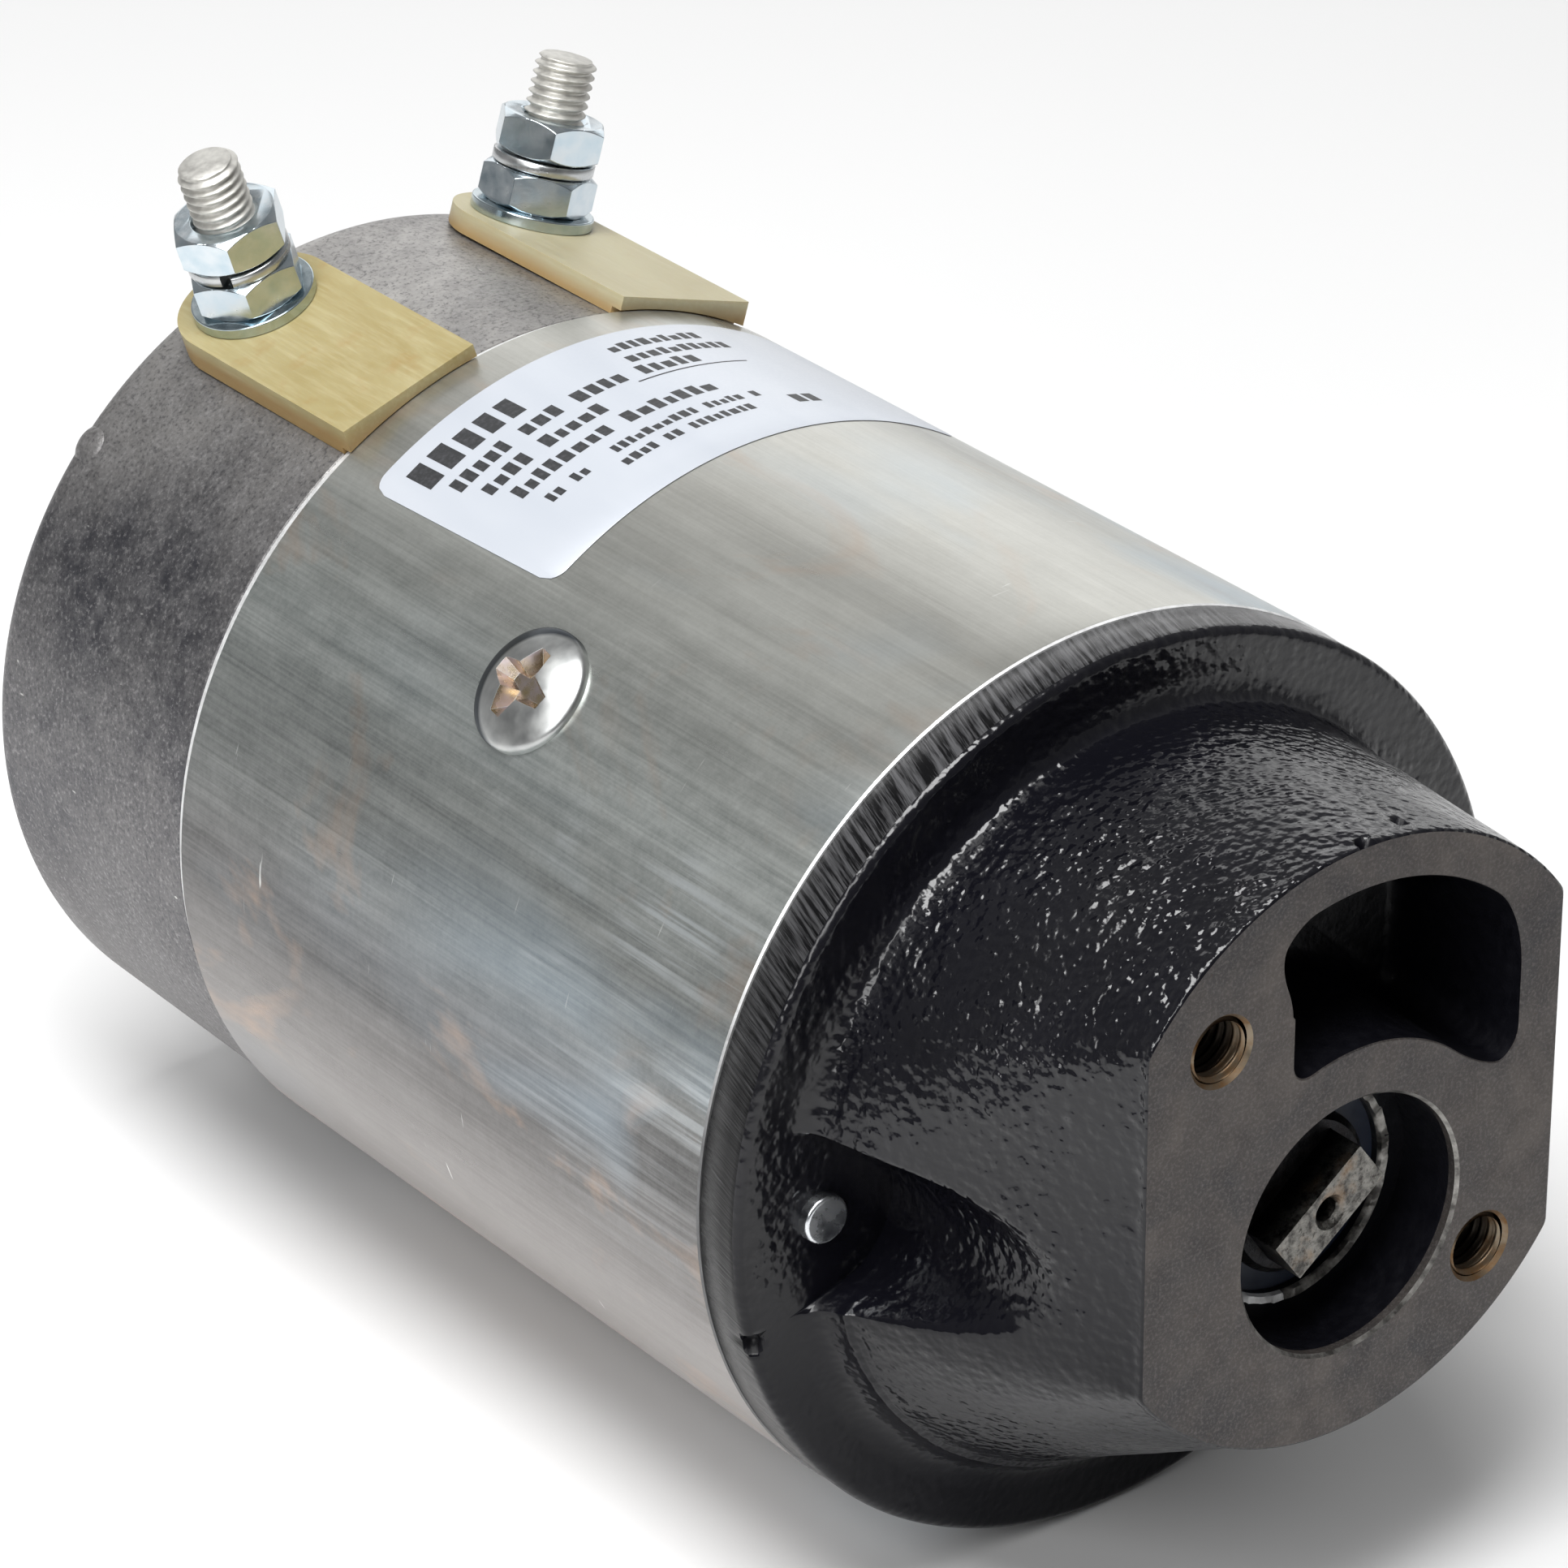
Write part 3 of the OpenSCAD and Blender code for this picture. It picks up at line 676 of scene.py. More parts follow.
# two tones, then roughness, and for some metal, stretch of the grain and its scale
PLAIN = {
    "pole_iron": ((0.16, 0.16, 0.17), (0.26, 0.26, 0.27), 0.45, 0.9),
    "field_copper": ((0.40, 0.13, 0.05), (0.56, 0.22, 0.09), 0.4, 0.5, 0.1),
    "spring_steel": ((0.24, 0.25, 0.27), (0.38, 0.39, 0.41), 0.32, 1.0),
    "bearing_steel": ((0.46, 0.47, 0.48), (0.6, 0.61, 0.62), 0.2, 1.0, 3.0),
    "ball_chrome": ((0.70, 0.71, 0.73), (0.80, 0.81, 0.83), 0.1, 1.0),
    "cage_brass": ((0.50, 0.34, 0.13), (0.62, 0.44, 0.20), 0.32, 1.0),
    "core_lamination": ((0.10, 0.105, 0.12), (0.24, 0.25, 0.27), 0.42, 0.9, 12.0, 400.0),
    "winding_copper": ((0.38, 0.12, 0.04), (0.55, 0.20, 0.08), 0.36, 0.6, 0.1, 700.0),
    "commutator_copper": ((0.52, 0.22, 0.11), (0.70, 0.33, 0.18), 0.26, 1.0, 6.0),
    "moulded_insulation": ((0.10, 0.045, 0.02), (0.15, 0.07, 0.04), 0.55),
    "holder_brass": ((0.54, 0.38, 0.14), (0.66, 0.48, 0.20), 0.34, 1.0),
    "brush_carbon": ((0.028, 0.027, 0.029), (0.06, 0.055, 0.05), 0.6, 0.2),
    "fibre_bush": ((0.58, 0.52, 0.32), (0.70, 0.64, 0.42), 0.5),
}


def make_materials():
    mats = {
        "black_casting_paint": casting_paint(),
        "turned_rim_paint": turned_paint(),
        "machined_face": machined_face(),
        "bright_edge": bright_edge(),
        "bore_lip": cut_lip(),
        "bore_iron": bore_iron(),
        "thread_iron": thread_iron(),
        "zinc_can_steel": can_zinc(),
        "cast_aluminium": cap_aluminium(),
        "label_film": label_film(),
        "label_ink": label_ink(),
        "fibre_pad": fibre_pad(),
        "seal_rubber": soft_rubber(),
        "shaft_steel": shaft_steel(),
        "bright_zinc_screw": polished_head(),
    }
    mats.update({name: plated(name, *look) for name, look in PLATED.items()})
    mats.update({name: plain(name, *look) for name, look in PLAIN.items()})
    return mats


# ---- drive-end casting ----

CASTING_FINISH = ("black_casting_paint", "turned_rim_paint", "machined_face", "bore_lip",
                  "bore_iron", "thread_iron", "bright_edge")
PAINT, TURNED, MACHINED, LIP, BORE, THREAD, BRIGHT = range(len(CASTING_FINISH))


def face_samples():
    """Points and outward normals of the face outline, with its corners rounded."""
    shrunk_r = FACE_R - FACE_CORNER
    shrunk_w = FACE_HALF_W - FACE_CORNER
    lean = math.asin(shrunk_w / shrunk_r)
    top = FACE_RISE + shrunk_r * math.cos(lean)
    low = FACE_RISE - shrunk_r * math.cos(lean)
    out = []

    def add(qx, qz, turn):
        n = (math.sin(turn), math.cos(turn))
        out.append((qx + FACE_CORNER * n[0], qz + FACE_CORNER * n[1], n[0], n[1]))

    for side in (0, 1):
        base = math.pi * side
        sign = 1 if side == 0 else -1
        for t in np.linspace(-lean, lean, 300):
            add(shrunk_r * math.sin(base + t), FACE_RISE + shrunk_r * math.cos(base + t), base + t)
        corner = (sign * shrunk_w, top if side == 0 else low)
        far = (sign * shrunk_w, low if side == 0 else top)
        for t in np.linspace(lean, math.pi / 2, 30):
            add(*corner, base + t)
        for t in np.linspace(0, 1, 120):
            add(corner[0], corner[1] + (far[1] - corner[1]) * t, base + math.pi / 2)
        for t in np.linspace(math.pi / 2, math.pi - lean, 30):
            add(*far, base + t)
    return np.array(out)


def neck_radius(samples, thetas, y):
    """Radius of the cast neck at each angle, a distance y behind the face."""
    f = min(max((y - NECK_START) / (RIM_FRONT - NECK_START), 0.0), 1.0)
    px = (1 - f) * samples[:, 0] + NECK_R * f * samples[:, 2]
    pz = (1 - f) * samples[:, 1] + NECK_R * f * samples[:, 3]
    turn = np.arctan2(px, pz)
    order = np.argsort(turn)
    return np.interp(thetas, turn[order], np.hypot(px, pz)[order], period=2 * math.pi)


def soft_min(a, b, k):
    h = np.clip(0.5 + 0.5 * (b - a) / k, 0, 1)
    return b + (a - b) * h - k * h * (1 - h)


def scoop_radius(thetas):
    """Distance from the shaft to the near wall of the bolt scoops, or a large number."""
    out = np.full(len(thetas), 99.0)
    for side in (-1, 1):
        along = np.sin(thetas) * side * BOLT_X
        inside = along ** 2 - BOLT_X ** 2 + SCOOP_R ** 2
        hit = (inside > 0) & (along > 0)
        near = along - np.sqrt(np.clip(inside, 0, None))
        out = np.where(hit, near, out)
    return out


def pit_axis(x, y, z):
    """Direction into the metal: towards the shaft, and half backwards on the rim."""
    return Vector((-x, math.hypot(x, z) if y > RIM_FRONT else 0.0, -z)).normalized()


def dented(point):
    """Pushes a point of the casting inwards where it lies in one of the small cast pits."""
    for x, y, z, size, depth in PITS:
        gap = (point - Vector((x, y, z))).length
        if gap < size:
            point = point + pit_axis(x, y, z) * depth * (1 - (gap / size) ** 2)
    return point


def in_pit(point):
    """True for a point on the dented surface of one of the pits."""
    for x, y, z, size, depth in PITS:
        offset = point - Vector((x, y, z))
        inward = pit_axis(x, y, z)
        sunk = min(max(offset.dot(inward), 0.0), depth)
        if (offset - inward * sunk).length < 0.75 * size and sunk > 0.25:
            return True
    return False


def neck_rows():
    thetas = np.linspace(-math.pi, math.pi, 720, endpoint=False)
    samples = face_samples()
    ys = [0.0, 0.1, 0.3] + list(np.arange(0.9, RIM_FRONT - 5, 0.5))
    ys += list(np.linspace(RIM_FRONT - 5, RIM_FRONT, 22))
    scoop = scoop_radius(thetas)
    radii = []
    for y in ys:
        r = neck_radius(samples, thetas, y)
        rise = y - (RIM_FRONT - FILLET_R)
        if rise > 0:
            fillet = NECK_R + 3.0 - math.sqrt(max(FILLET_R ** 2 - rise ** 2, 0.0))
            r = -soft_min(-r, np.full(len(r), -fillet), 0.8)
        if y > 3:
            r = soft_min(r, scoop, 1.2)
        radii.append(r)
    radii = np.array(radii)
    for _ in range(2):
        inner = radii[4:-1]
        near = (np.roll(inner, 1, 1) + np.roll(inner, -1, 1) + radii[3:-2] + radii[5:]) / 4
        radii[4:-1] = 0.5 * inner + 0.5 * near
    radii[0] -= 0.30
    radii[1] -= 0.10
    rows = []
    for y, ring in zip(ys, radii):
        row = []
        for t, r in zip(thetas, ring):
            p = polar(r, t, y)
            if y > 0.5:
                wave = 0.10 * noise.noise(p / 9.0) + 0.05 * noise.noise(p / 2.6)
                p += polar(1, t, 0) * wave
            row.append(dented(p))
        rows.append(row)
    return thetas, rows


def round_max(a, b, r):
    if a > -r and b > -r:
        return math.hypot(a + r, b + r) - r
    return max(a, b)


def kidney_distance(x, z):
    """Signed distance to the kidney pocket's outline, negative inside."""
    d = round_max(math.hypot(x, z - FACE_RISE) - KIDNEY_OUTER_R, x - KIDNEY_RIGHT, 4.0)
    d = round_max(d, KIDNEY_INNER_R - math.hypot(x, z), 2.6 if x < 0 else 3.6)
    boss = TAP_BOSS_R - math.hypot(x + TAP_DX, z - TAP_Z - TAP_DX)
    left = round_max(boss, KIDNEY_LEFT - x, 3.0)
    if z < 30:
        left = max(left, -9.3 - x)
    d = round_max(d, left, 6.5 if z > 30 else 3.0)
    return round_max(d, KIDNEY_BOTTOM - z, 4.0)


def kidney_loop(grow):
    """Outline of the kidney pocket, grown by a small distance."""
    cx, cz = KIDNEY_MIDDLE
    out = []
    for t in turns(KIDNEY_STEPS):
        low, high = 0.0, 34.0
        for _ in range(30):
            mid = (low + high) / 2
            if kidney_distance(cx + mid * math.sin(t), cz + mid * math.cos(t)) < grow:
                low = mid
            else:
                high = mid
        out.append((cx + low * math.sin(t), cz + low * math.cos(t)))
    return out


def ring_loop(cx, cz, r, count):
    return [(cx + r * math.sin(t), cz + r * math.cos(t)) for t in turns(count)]


def tap_centres():
    return [(-TAP_DX, TAP_Z + TAP_DX), (TAP_DX, TAP_Z - TAP_DX)]


def fill_face(build, outer, holes):
    """Fills the machined face between its outline and its holes."""
    coords, edges = [], []
    for loop in [outer] + holes:
        start = len(coords)
        coords += [Vector(p) for p in loop]
        edges += [(start + i, start + (i + 1) % len(loop)) for i in range(len(loop))]
    verts, _, tris, _, _, _ = geometry.delaunay_2d_cdt(coords, edges, [], 0, 1e-6)
    ids = build.row([(v.x, 0.0, v.y) for v in verts])
    for tri in tris:
        cx = sum(verts[i].x for i in tri) / 3
        cz = sum(verts[i].y for i in tri) / 3
        in_tap = any(math.hypot(cx - x, cz - z) < TAP_MOUTH_R for x, z in tap_centres())
        if math.hypot(cx, cz) < PILOT_R + 0.4 or in_tap or kidney_distance(cx, cz) < 0.15:
            continue
        build.face([ids[i] for i in tri], MACHINED)


def tapped_hole(build, cx, cz):
    """Countersunk mouth, cut thread and drill point."""
    build.grid([[(x, y, z) for x, z in ring_loop(cx, cz, r, TAP_STEPS)]
                for r, y in ((TAP_MOUTH_R, 0.0), (4.05, TAP_MOUTH_DEPTH))], THREAD)
    rows = []
    count = int((TAP_DEPTH - TAP_MOUTH_DEPTH) / PITCH_M8 * 10)
    for k in range(count + 1):
        y = TAP_MOUTH_DEPTH + k * PITCH_M8 / 10
        row = []
        for i in range(TAP_STEPS):
            t = 2 * math.pi * i / TAP_STEPS
            phase = (y / PITCH_M8 - i / TAP_STEPS) % 1.0
            r = 3.42 + 0.58 * (0.5 + 0.5 * math.cos(2 * math.pi * phase)) ** 1.4
            row.append((cx + r * math.sin(t), y, cz + r * math.cos(t)))
        rows.append(row)
    last = build.grid(rows, THREAD)[-1]
    point_to(build, last, (cx, TAP_DEPTH + 1.5, cz), THREAD)


def point_to(build, ring, tip, slot):
    """Closes a ring with triangles to one point."""
    end = build.row([tip])[0]
    for a, b in zip(ring, ring[1:] + ring[:1]):
        build.face((a, b, end), slot)


def kidney_pocket(build):
    build.grid([[(x, y, z) for x, z in kidney_loop(g)]
                for g, y in ((0.15, 0.0), (0.0, 0.15))], MACHINED)
    levels = [(0.0, 0.15), (-0.25, 6.0), (-0.5, 12.0), (-0.7, KIDNEY_DEPTH - 3),
              (-1.0, KIDNEY_DEPTH - 1.4), (-1.7, KIDNEY_DEPTH - 0.4), (-2.8, KIDNEY_DEPTH)]
    rows = build.grid([[(x, y, z) for x, z in kidney_loop(g)] for g, y in levels], BORE)
    point_to(build, rows[-1], (KIDNEY_MIDDLE[0], KIDNEY_DEPTH, KIDNEY_MIDDLE[1]), BORE)


def casting_outside(build):
    """Neck, flat shelf and turned rim, back to the can. Returns the outline of the face."""
    thetas, rows = neck_rows()
    foot = [math.hypot(p[0], p[2]) for p in rows[-1]]
    rings = [([r + (RIM_R - 1.0 - r) * k / SHELF_STEPS for r in foot], RIM_FRONT, PAINT)
             for k in range(1, SHELF_STEPS + 1)]
    lip = [(RIM_R - 0.7, RIM_FRONT + 0.08), (RIM_R - 0.25, RIM_FRONT + 0.4),
           (RIM_R, RIM_FRONT + 0.9)]
    band = [(RIM_R, RIM_FRONT + 1.6), (RIM_R, RIM_FRONT + 3), (RIM_R, CAN_Y0 - 0.3),
            (RIM_R - 0.3, CAN_Y0), (CAN_R - 6, CAN_Y0)]
    for points, slot in ((lip, PAINT), (band, TURNED)):
        rings += [([r] * len(foot), y, slot) for r, y in points]
    last = build.grid(rows, PAINT)[-1]
    for radii, y, slot in rings:
        row = build.row([dented(polar(r, t, y)) for r, t in zip(radii, thetas)])
        build.bridge(last, row, slot)
        last = row
    return [(p[0], p[2]) for p in rows[0]]


def pilot_bore(build):
    """Bore with a cut mouth, a ragged step and the seat of the shaft seal."""
    wide = PILOT_R + 0.4
    lathe(build, [(wide, 0.0), (PILOT_R, 0.4)], LIP, BORE_STEPS)
    lathe(build, [(PILOT_R, 0.4), (PILOT_R, 1.4)], MACHINED, BORE_STEPS)
    lathe(build, [(PILOT_R, 1.4), (PILOT_R, 3.0), (wide, 3.1)], BORE, BORE_STEPS)
    lathe(build, [(wide, 3.1), (wide, STEP_Y), (STEP_R + 0.7, STEP_Y)], BORE, BORE_STEPS)
    ragged = []
    for grow, y, wave in ((0.7, 0.0, 0.0), (1.0, -0.2, 0.5), (0.2, 0.0, 0.4), (0.0, 0.6, 0.0)):
        ring = circle_row(STEP_R + grow, STEP_Y + y, BORE_STEPS)
        ragged.append([p * (1 - wave * noise.noise(p / 1.2) / (STEP_R + grow)) for p in ring])
    # painted light: the step's lip takes the bright cut finish from the bottom to the left side,
    # where the light strikes it, and the duller lip finish elsewhere
    for first, last, slot in ((66, 96, BRIGHT), (96, 194, LIP)):
        part = [[ring[i % BORE_STEPS] for i in range(first, last + 1)] for ring in ragged]
        build.grid(part, slot, closed=False)
    lathe(build, [(STEP_R, STEP_Y + 0.6), (STEP_R, SEAL_Y), (SEAL_R, SEAL_Y)], BORE, BORE_STEPS)


def drive_end_casting(mats):
    build = Build()
    outer = casting_outside(build)
    holes = [ring_loop(0, 0, PILOT_R + 0.4, BORE_STEPS), kidney_loop(0.15)]
    holes += [ring_loop(x, z, TAP_MOUTH_R, TAP_STEPS) for x, z in tap_centres()]
    fill_face(build, outer, holes)
    pilot_bore(build)
    for x, z in tap_centres():
        tapped_hole(build, x, z)
    kidney_pocket(build)
    for k, corners in enumerate(build.faces):
        outside = build.slots[k] in (PAINT, TURNED)
        if outside and any(in_pit(build.verts[i]) for i in corners):
            build.slots[k] = BORE
    return build.make("drive_end_casting", mats, CASTING_FINISH, 50.0, ("drive_end_flange",))


# ---- can, cap and label ----

def steel_tube(mats):
    build = Build()
    inner = CAN_R - CAN_WALL
    front = [(inner, CAN_Y0), (CAN_R - 0.20, CAN_Y0), (CAN_R - 0.03, CAN_Y0 + 0.28)]
    lathe(build, front, 1)
    ys = np.linspace(CAN_Y0 + 0.6, CAN_Y1 - 1.5, 24)
    lathe(build, [front[-1]] + [(CAN_R, y) for y in ys], 0)
    rear = [(CAN_R, ys[-1]), (CAN_R - 0.18, CAN_Y1 - 1.4), (CAN_R - 0.50, CAN_Y1 - 0.5),
            (CAN_R - 0.75, CAN_Y1), (inner, CAN_Y1)]
    lathe(build, rear, 1)
    lathe(build, [(inner, CAN_Y1), (inner, CAN_Y0)], 0)
    return build.make("steel_can_tube", mats, ("zinc_can_steel", "bright_edge"), 30.0,
                      ("steel_can",))


def cast_cap(mats):
    build = Build()
    round_r = 4.0
    profile = [(CAN_R - 6.0, CAN_Y1 - 5.4), (CAN_R - 5.6, CAN_Y1 - 5.4), (CAN_R - 5.6, CAN_Y1),
               (CAP_R - 0.4, CAN_Y1 + 0.02), (CAP_R, CAN_Y1 + 0.4)]
    ys = np.linspace(CAN_Y1 + 2, CAP_Y - round_r, 16)
    profile += [(CAP_R - 0.012 * (y - CAN_Y1), y) for y in ys]
    edge_r = CAP_R - 0.012 * (CAP_Y - round_r - CAN_Y1)
    profile += arc(edge_r - round_r, CAP_Y - round_r, round_r, 8, 90, 10)
    profile += [(40.0, CAP_Y), (24.2, CAP_Y), (23.3, CAP_Y + 0.3), (22.8, CAP_Y + 1.4),
                (22.0, CAP_Y + BOSS_RISE), (14.0, CAP_Y + BOSS_RISE), (2.0, CAP_Y + BOSS_RISE)]
    lathe(build, profile, close_end=True)
    obj = build.make("cast_rear_cap", mats, ("cast_aluminium",), 40.0, ("rear_cap",))
    for side in (-1, 1):
        bm = bmesh.new()
        turn = Matrix.Rotation(math.radians(90), 4, "X")
        at = Matrix.Translation((side * BOLT_X * MM, (CAP_Y - 1.0) * MM, 0))
        bmesh.ops.create_cone(bm, cap_ends=True, segments=64, radius1=6.6 * MM, radius2=6.6 * MM,
                              depth=10 * MM, matrix=at @ turn)
        cut(obj, helper_mesh("cutter", bm, mats["cast_aluminium"]))
    return obj


def casting_nub(mats):
    """Low rounded gate stub on the cap's shoulder."""
    build = Build()
    at = Matrix.Rotation(math.radians(NUB_ANGLE), 4, "Y")
    rows = []
    for r, z in [(3.4, 54.4), (2.8, 55.4), (2.2, 55.75), (1.5, 55.95), (0.8, 56.05), (0.3, 56.08)]:
        rows.append([at @ Vector((x, CAP_Y - 4.2 + w, z)) for x, w in ring_loop(0, 0, r, 32)])
    made = build.grid(rows)
    build.face(made[-1])
    return build.make("cap_casting_nub", mats, ("cast_aluminium",), 60.0)


def on_can(u, y, lift):
    """Point on the can for an arc length u and a distance y, lifted off the surface."""
    return polar(CAN_R + lift, u / CAN_R, y)


def label_point(u, v):
    """Turns label coordinates by its small skew about the label's middle."""
    low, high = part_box("rating_label")
    mid = 500 * (low.y + high.y)
    a = math.radians(LABEL_SKEW)
    return u * math.cos(a) - v * math.sin(a), mid + u * math.sin(a) + v * math.cos(a)


def curved_patch(build, u0, u1, v0, v1):
    """Thin printed patch on the label."""
    steps = max(1, int((u1 - u0) / 1.5))
    rows = []
    for v in (v0, v1):
        row = []
        for i in range(steps + 1):
            u, y = label_point(u0 + (u1 - u0) * i / steps, v)
            row.append(on_can(u, y, PRINT_LIFT))
        rows.append(row)
    build.grid(rows, closed=False)


def label_sheet(mats):
    half_u, half_v, corner = 33.4, 17.8, 2.6
    build = Build()
    columns = []
    for i in range(121):
        u = -half_u + 2 * half_u * i / 120
        inset = max(0.0, abs(u) - (half_u - corner))
        v = half_v - corner + math.sqrt(max(corner ** 2 - inset ** 2, 0.0))
        columns.append((u, v))

    def sheet_row(k, lift):
        flat = (label_point(u, -v + 2 * v * k / 8) for u, v in columns)
        return [on_can(u, y, lift) for u, y in flat]

    rows = build.grid([sheet_row(k, LABEL_LIFT) for k in range(9)], closed=False)
    rim = rows[0] + [r[-1] for r in rows[1:-1]] + rows[-1][::-1] + [r[0] for r in rows[-2:0:-1]]
    drop = build.row([p * (1 - 0.1 / p.length) for p in (build.verts[i] for i in rim)])
    build.bridge(rim, drop)
    return build.make("rating_label_film", mats, ("label_film",), 35.0, ("rating_label",))


def print_line(build, rng, u, v, height, words):
    """One line of blank placeholder blocks, grouped like words."""
    for count in words:
        for _ in range(count):
            width = height * rng.uniform(0.42, 0.66)
            tall = height * rng.choice((1.0, 1.0, 0.72, 1.0, 0.86))
            curved_patch(build, u, u + width, v, v + tall)
            u += width + height * 0.22
        u += height * 0.75


def label_print(mats):
    rng = random.Random(7)
    build = Build()
    print_line(build, rng, -30.0, 9.6, 5.0, (5,))
    lines = [(-28.5, 5.2, 2.6, (5, 3, 4, 5)), (-27.0, 0.9, 2.6, (4, 5)),
             (-25.5, -3.4, 2.6, (8, 7)), (-24.0, -7.6, 1.9, (2, 2)), (-13.5, -7.4, 1.7, (10, 5, 1)),
             (-14.5, -10.6, 1.7, (4, 2, 8)), (2.0, 12.6, 2.1, (9,)), (2.0, 9.0, 2.1, (10,)),
             (12.0, -10.8, 2.6, (2,))]
    for u, v, height, words in lines:
        print_line(build, rng, u, v, height, words)
    curved_patch(build, -1.0, 16.0, 3.9, 4.2)
    return build.make("rating_label_blocks", mats, ("label_ink",), 60.0)


# ---- fasteners ----

def thread_radius(phase, major, depth):
    wave = 0.5 - 0.5 * math.cos(2 * math.pi * phase)
    return major - depth * min(1.0, wave ** 0.8 * 1.05)


def threaded_stud(mats, side):
    build = Build()
    at = stud_frame(side)
    steps, low, high = 48, -8.0, STUD_LEN
    fine = PITCH_M8 / 12
    count = int((high - low) / fine)
    rows = []
    for k in range(count + 1):
        z = low + k * fine
        row = []
        for i in range(steps):
            t = 2 * math.pi * i / steps
            r = thread_radius((z / PITCH_M8 - i / steps) % 1.0, 3.98, 0.70)
            r = min(r, 3.15 + 1.1 * max(high - z, 0.0) ** 0.9)
            row.append(at @ spoke(r, t, z))
        rows.append(row)
    made = build.grid(rows)
    build.face(made[-1])
    head = [(7.2, -8.7), (7.2, -13.0)]
    rows = [[at @ spoke(r, t, z) for t in turns(6)] for r, z in head]
    made = build.grid(rows)
    build.face(made[0])
    build.face(made[1])
    name = "left" if side < 0 else "right"
    return build.make("threaded_stud_" + name, mats, ("tinned_stud",), 70.0,
                      ("terminal_stud_" + name,))


def split_washers(mats):
    """Square-section split washers with their ends slightly apart."""
    build = Build()
    for side, gap_at in ((-1, 222.0), (1, 80.0)):
        at = stud_frame(side)
        base = SPRING_WASHER_BASE
        steps = 96
        loops = []
        for i in range(steps + 1):
            f = i / steps
            t = math.radians(gap_at + 6.0 + 348.0 * f)
            lift = 0.05 + 0.38 * f
            section = [(4.25, 0.12), (4.4, 0.0), (6.45, 0.0), (6.62, 0.16), (6.62, 1.34),
                       (6.45, 1.5), (4.4, 1.5), (4.25, 1.38)]
            loops.append([at @ spoke(r, t, base + lift + z) for r, z in section])
        made = build.grid(loops)
        build.face(made[0])
        build.face(made[-1])
    return build.make("split_spring_washers", mats, ("spring_washer_steel",), 50.0,
                      ("spring_washers",))


def cross_cutter(at, material):
    """Tapered cross recess for one pole screw."""
    bm = bmesh.new()
    spin = Matrix.Rotation(math.radians(-10), 4, "Z")
    levels = []
    for z, arm, root, tip in ((57.5, 2.9, 0.9, 0.5), (60.6, 6.2, 2.1, 1.25)):
        outline = [(root, root), (arm, tip), (arm, -tip), (root, -root), (tip, -arm),
                   (-tip, -arm), (-root, -root), (-arm, -tip), (-arm, tip), (-root, root),
                   (-tip, arm), (tip, arm)]
        levels.append([bm.verts.new((at @ spin @ Vector((x, y, z))) * MM) for x, y in outline])
    low, high = levels
    bm.faces.new(low)
    bm.faces.new(high)
    for i in range(12):
        j = (i + 1) % 12
        bm.faces.new((low[i], low[j], high[j], high[i]))
    bmesh.ops.recalc_face_normals(bm, faces=bm.faces)
    return helper_mesh("cutter", bm, material)


def pole_screw_heads(mats):
    for name, angle in (("upper_left", 315), ("lower_right", 135)):
        at = pole_frame(angle)
        build = Build()
        dome = CAN_R + 3.0 - HEAD_DOME_R
        profile = [(8.0, 54.0), (8.0, 57.2), (7.93, 57.5), (7.75, 57.75)]
        profile += [(r, dome + math.sqrt(HEAD_DOME_R ** 2 - r * r))
                    for r in (7.5, 7.2, 6.8, 6.0, 5.0, 4.0, 3.0, 2.0, 1.0, 0.3)]
        rows = [[at @ spoke(r, t, z) for t in turns(96)] for r, z in profile]
        made = build.grid(rows)
        build.face(made[-1])
        build.face(made[0])
        replaced = ("pole_screws",) if name == "upper_left" else ()
        obj = build.make("pole_screw_" + name, mats, ("bright_zinc_screw",), 35.0, replaced)
        cut(obj, cross_cutter(at, mats["screw_recess"]))
        obj.data.set_sharp_from_angle(angle=math.radians(35))
        lip = obj.modifiers.new("recess_lip", "BEVEL")
        lip.width = 0.22 * MM
        lip.segments = 2
        lip.limit_method = "ANGLE"
        lip.angle_limit = math.radians(40)
        lip.material = 0
        lip.harden_normals = True


# ---- everything else keeps its CAD shape ----

def finish_frame(mats):
    refine("flat_washers", mats["washer_zinc"], 0.22)
    refine("lower_nuts", mats["lower_nut_zinc"], 0.16)
    refine("upper_nuts", mats["upper_nut_zinc"], 0.16)
    refine("insulating_pad_left", mats["fibre_pad"], 0.35)
    refine("insulating_pad_right", mats["fibre_pad"], 0.35)
    refine("through_bolts", mats["bolt_steel"], 0.5, segments=3)
    refine("rotor_shaft", mats["shaft_steel"], 0.2, body="rotor")
    for name, obj in NODES.items():
        obj.data.materials.clear()
        obj.data.materials.append(mats[SLOTS[name]])


# ---- stage ----

def build_stage():
    size = 3.0
    mesh = bpy.data.meshes.new("studio_floor")
    z = -CAN_R * MM - 0.0004
    mesh.from_pydata([(-size, -size, z), (size, -size, z), (size, size, z), (-size, size, z)], [],
                     [(0, 1, 2, 3)])
    s = Shader("studio_floor")
    mesh.materials.append(s.finish(color=(0.86, 0.86, 0.86), rough=0.75))
    add_object("studio_floor", mesh)


def area_light(name, position, target, size, power):
    data = bpy.data.lights.new(name, "AREA")
    data.shape = "RECTANGLE"
    data.size, data.size_y = size
    data.energy = power
    obj = add_object(name, data)
    obj.location = position
    aim = Vector(target) - Vector(position)
    obj.rotation_euler = aim.to_track_quat("-Z", "Y").to_euler()


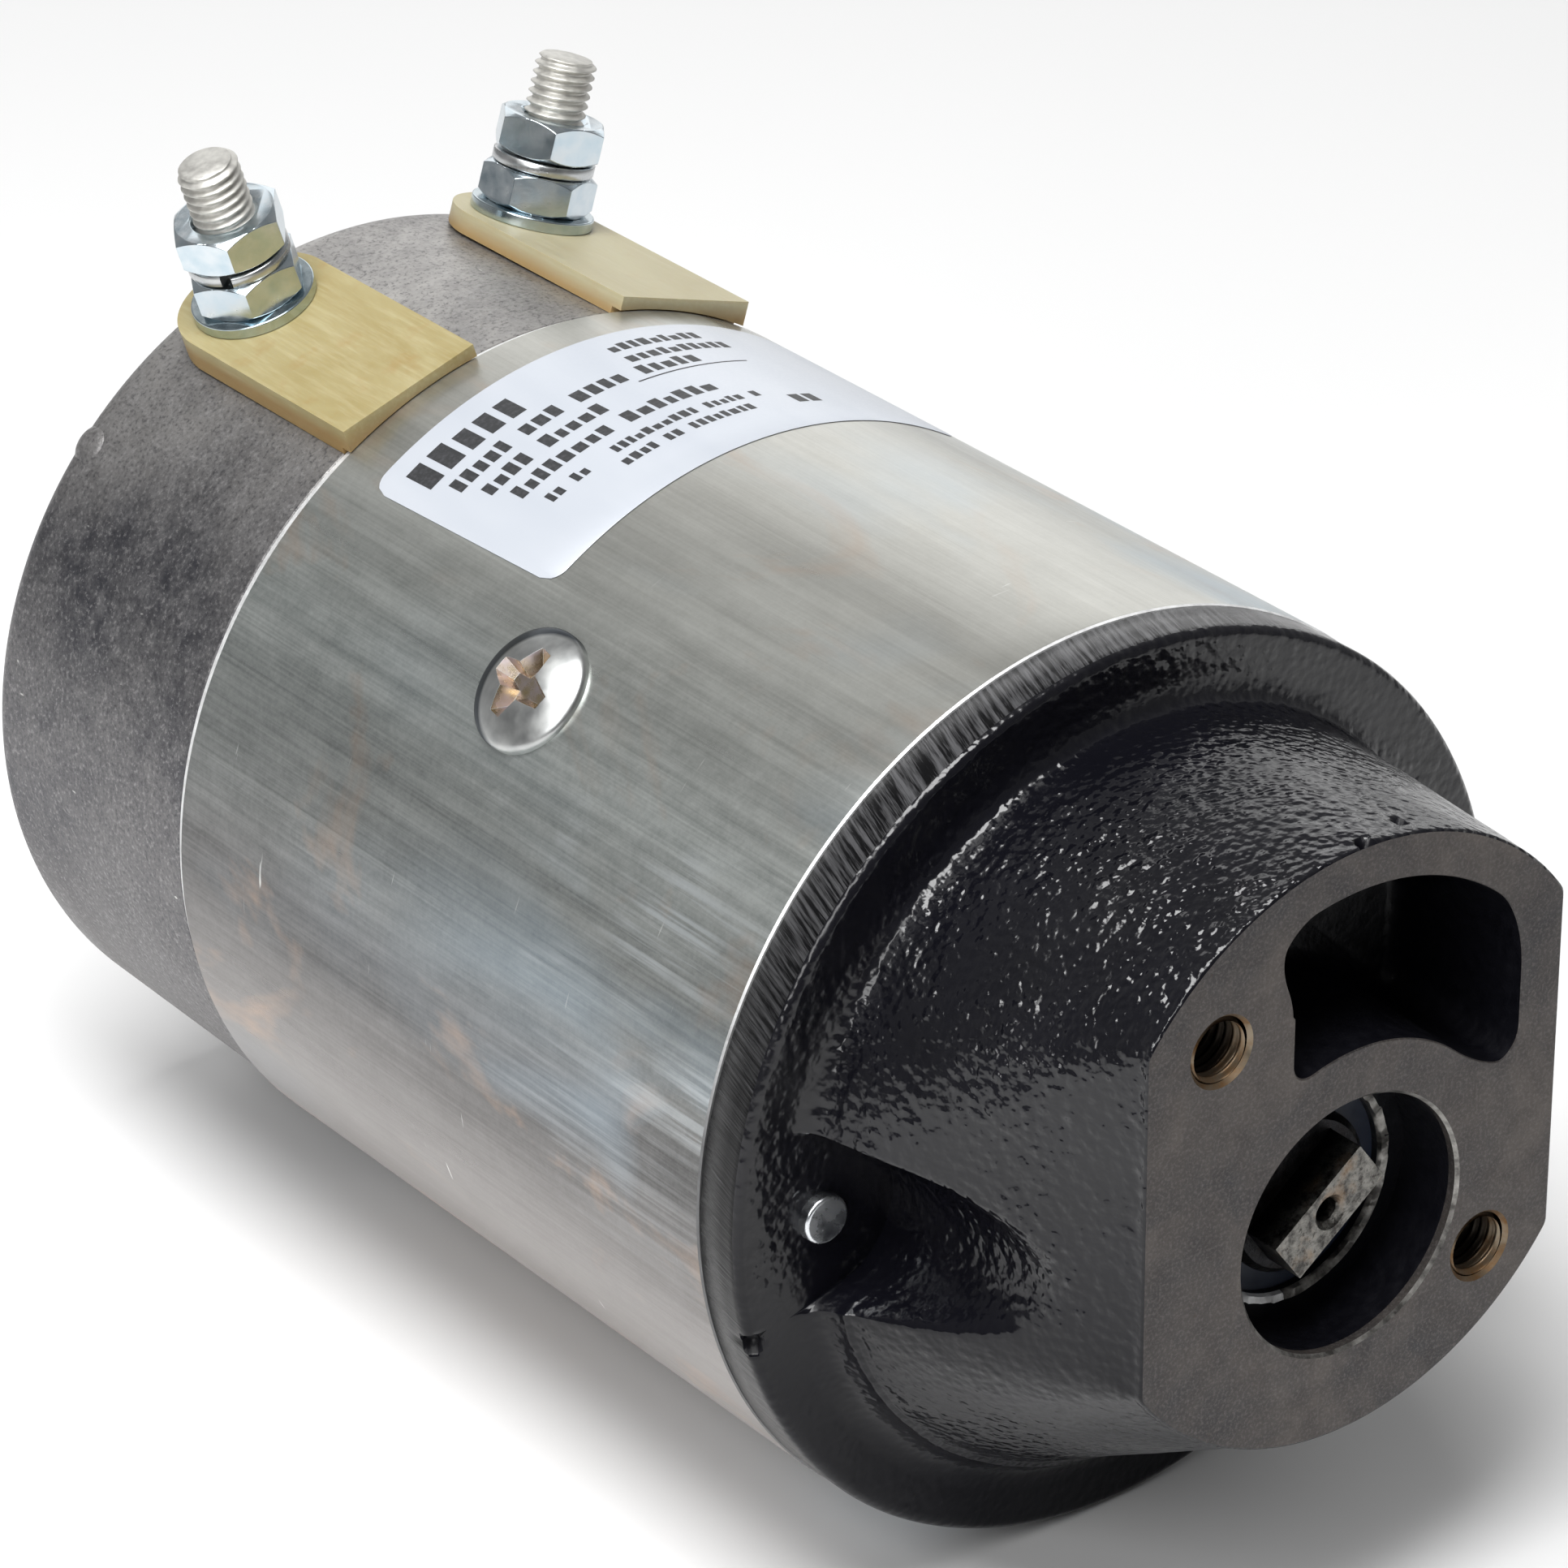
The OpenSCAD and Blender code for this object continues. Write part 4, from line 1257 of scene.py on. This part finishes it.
def build_lights():
    world = bpy.data.worlds.new("studio_world")
    bpy.context.scene.world = world
    world.use_nodes = True
    nodes, links = world.node_tree.nodes, world.node_tree.links
    back = nodes["Background"]
    back.inputs["Color"].default_value = (1.0, 1.0, 1.0, 1.0)
    facing = nodes.new("ShaderNodeVectorMath")
    facing.operation = "DOT_PRODUCT"
    facing.inputs[1].default_value = (-0.54, -0.70, 0.47)
    fade = nodes.new("ShaderNodeMapRange")
    for name, value in (("From Min", -0.2), ("From Max", 0.75), ("To Min", 0.31), ("To Max", 0.12)):
        fade.inputs[name].default_value = value
    links.new(nodes.new("ShaderNodeTexCoord").outputs["Generated"], facing.inputs[0])
    links.new(facing.outputs["Value"], fade.inputs["Value"])
    links.new(fade.outputs["Result"], back.inputs["Strength"])
    middle = (0.0, 0.07, 0.0)
    area_light("overhead_softbox", (-0.30, -0.06, 0.92), middle, (0.60, 0.50), 13.0)
    area_light("back_panel", (0.72, 0.98, 0.42), middle, (1.3, 0.8), 3.4)
    area_light("left_strip", (-0.85, -0.28, 0.62), middle, (0.40, 0.55), 4.5)


def build_camera():
    """Long lens, from the drive end's left and above, rolled by less than a degree."""
    az, el, roll = (math.radians(a) for a in CAMERA_ANGLES)
    back = Vector((math.sin(az) * math.cos(el), -math.cos(az) * math.cos(el), math.sin(el)))
    right = Vector((0, 0, 1)).cross(back).normalized()
    up = back.cross(right)
    tilt_right = right * math.cos(roll) + up * math.sin(roll)
    tilt_up = -right * math.sin(roll) + up * math.cos(roll)
    turn = Matrix((tilt_right, tilt_up, back)).transposed().to_4x4()
    data = bpy.data.cameras.new("view_camera")
    data.sensor_width = 36.0
    data.lens = CAMERA_LENS
    cam = add_object("view_camera", data)
    cam.matrix_world = Matrix.Translation(CAMERA_PLACE) @ turn
    bpy.context.scene.camera = cam


def main():
    bpy.context.scene.view_settings.view_transform = "Standard"
    mats = make_materials()
    drive_end_casting(mats)
    steel_tube(mats)
    cast_cap(mats)
    casting_nub(mats)
    label_sheet(mats)
    label_print(mats)
    for side in (-1, 1):
        threaded_stud(mats, side)
    split_washers(mats)
    pole_screw_heads(mats)
    finish_frame(mats)
    build_stage()
    build_lights()
    build_camera()


main()
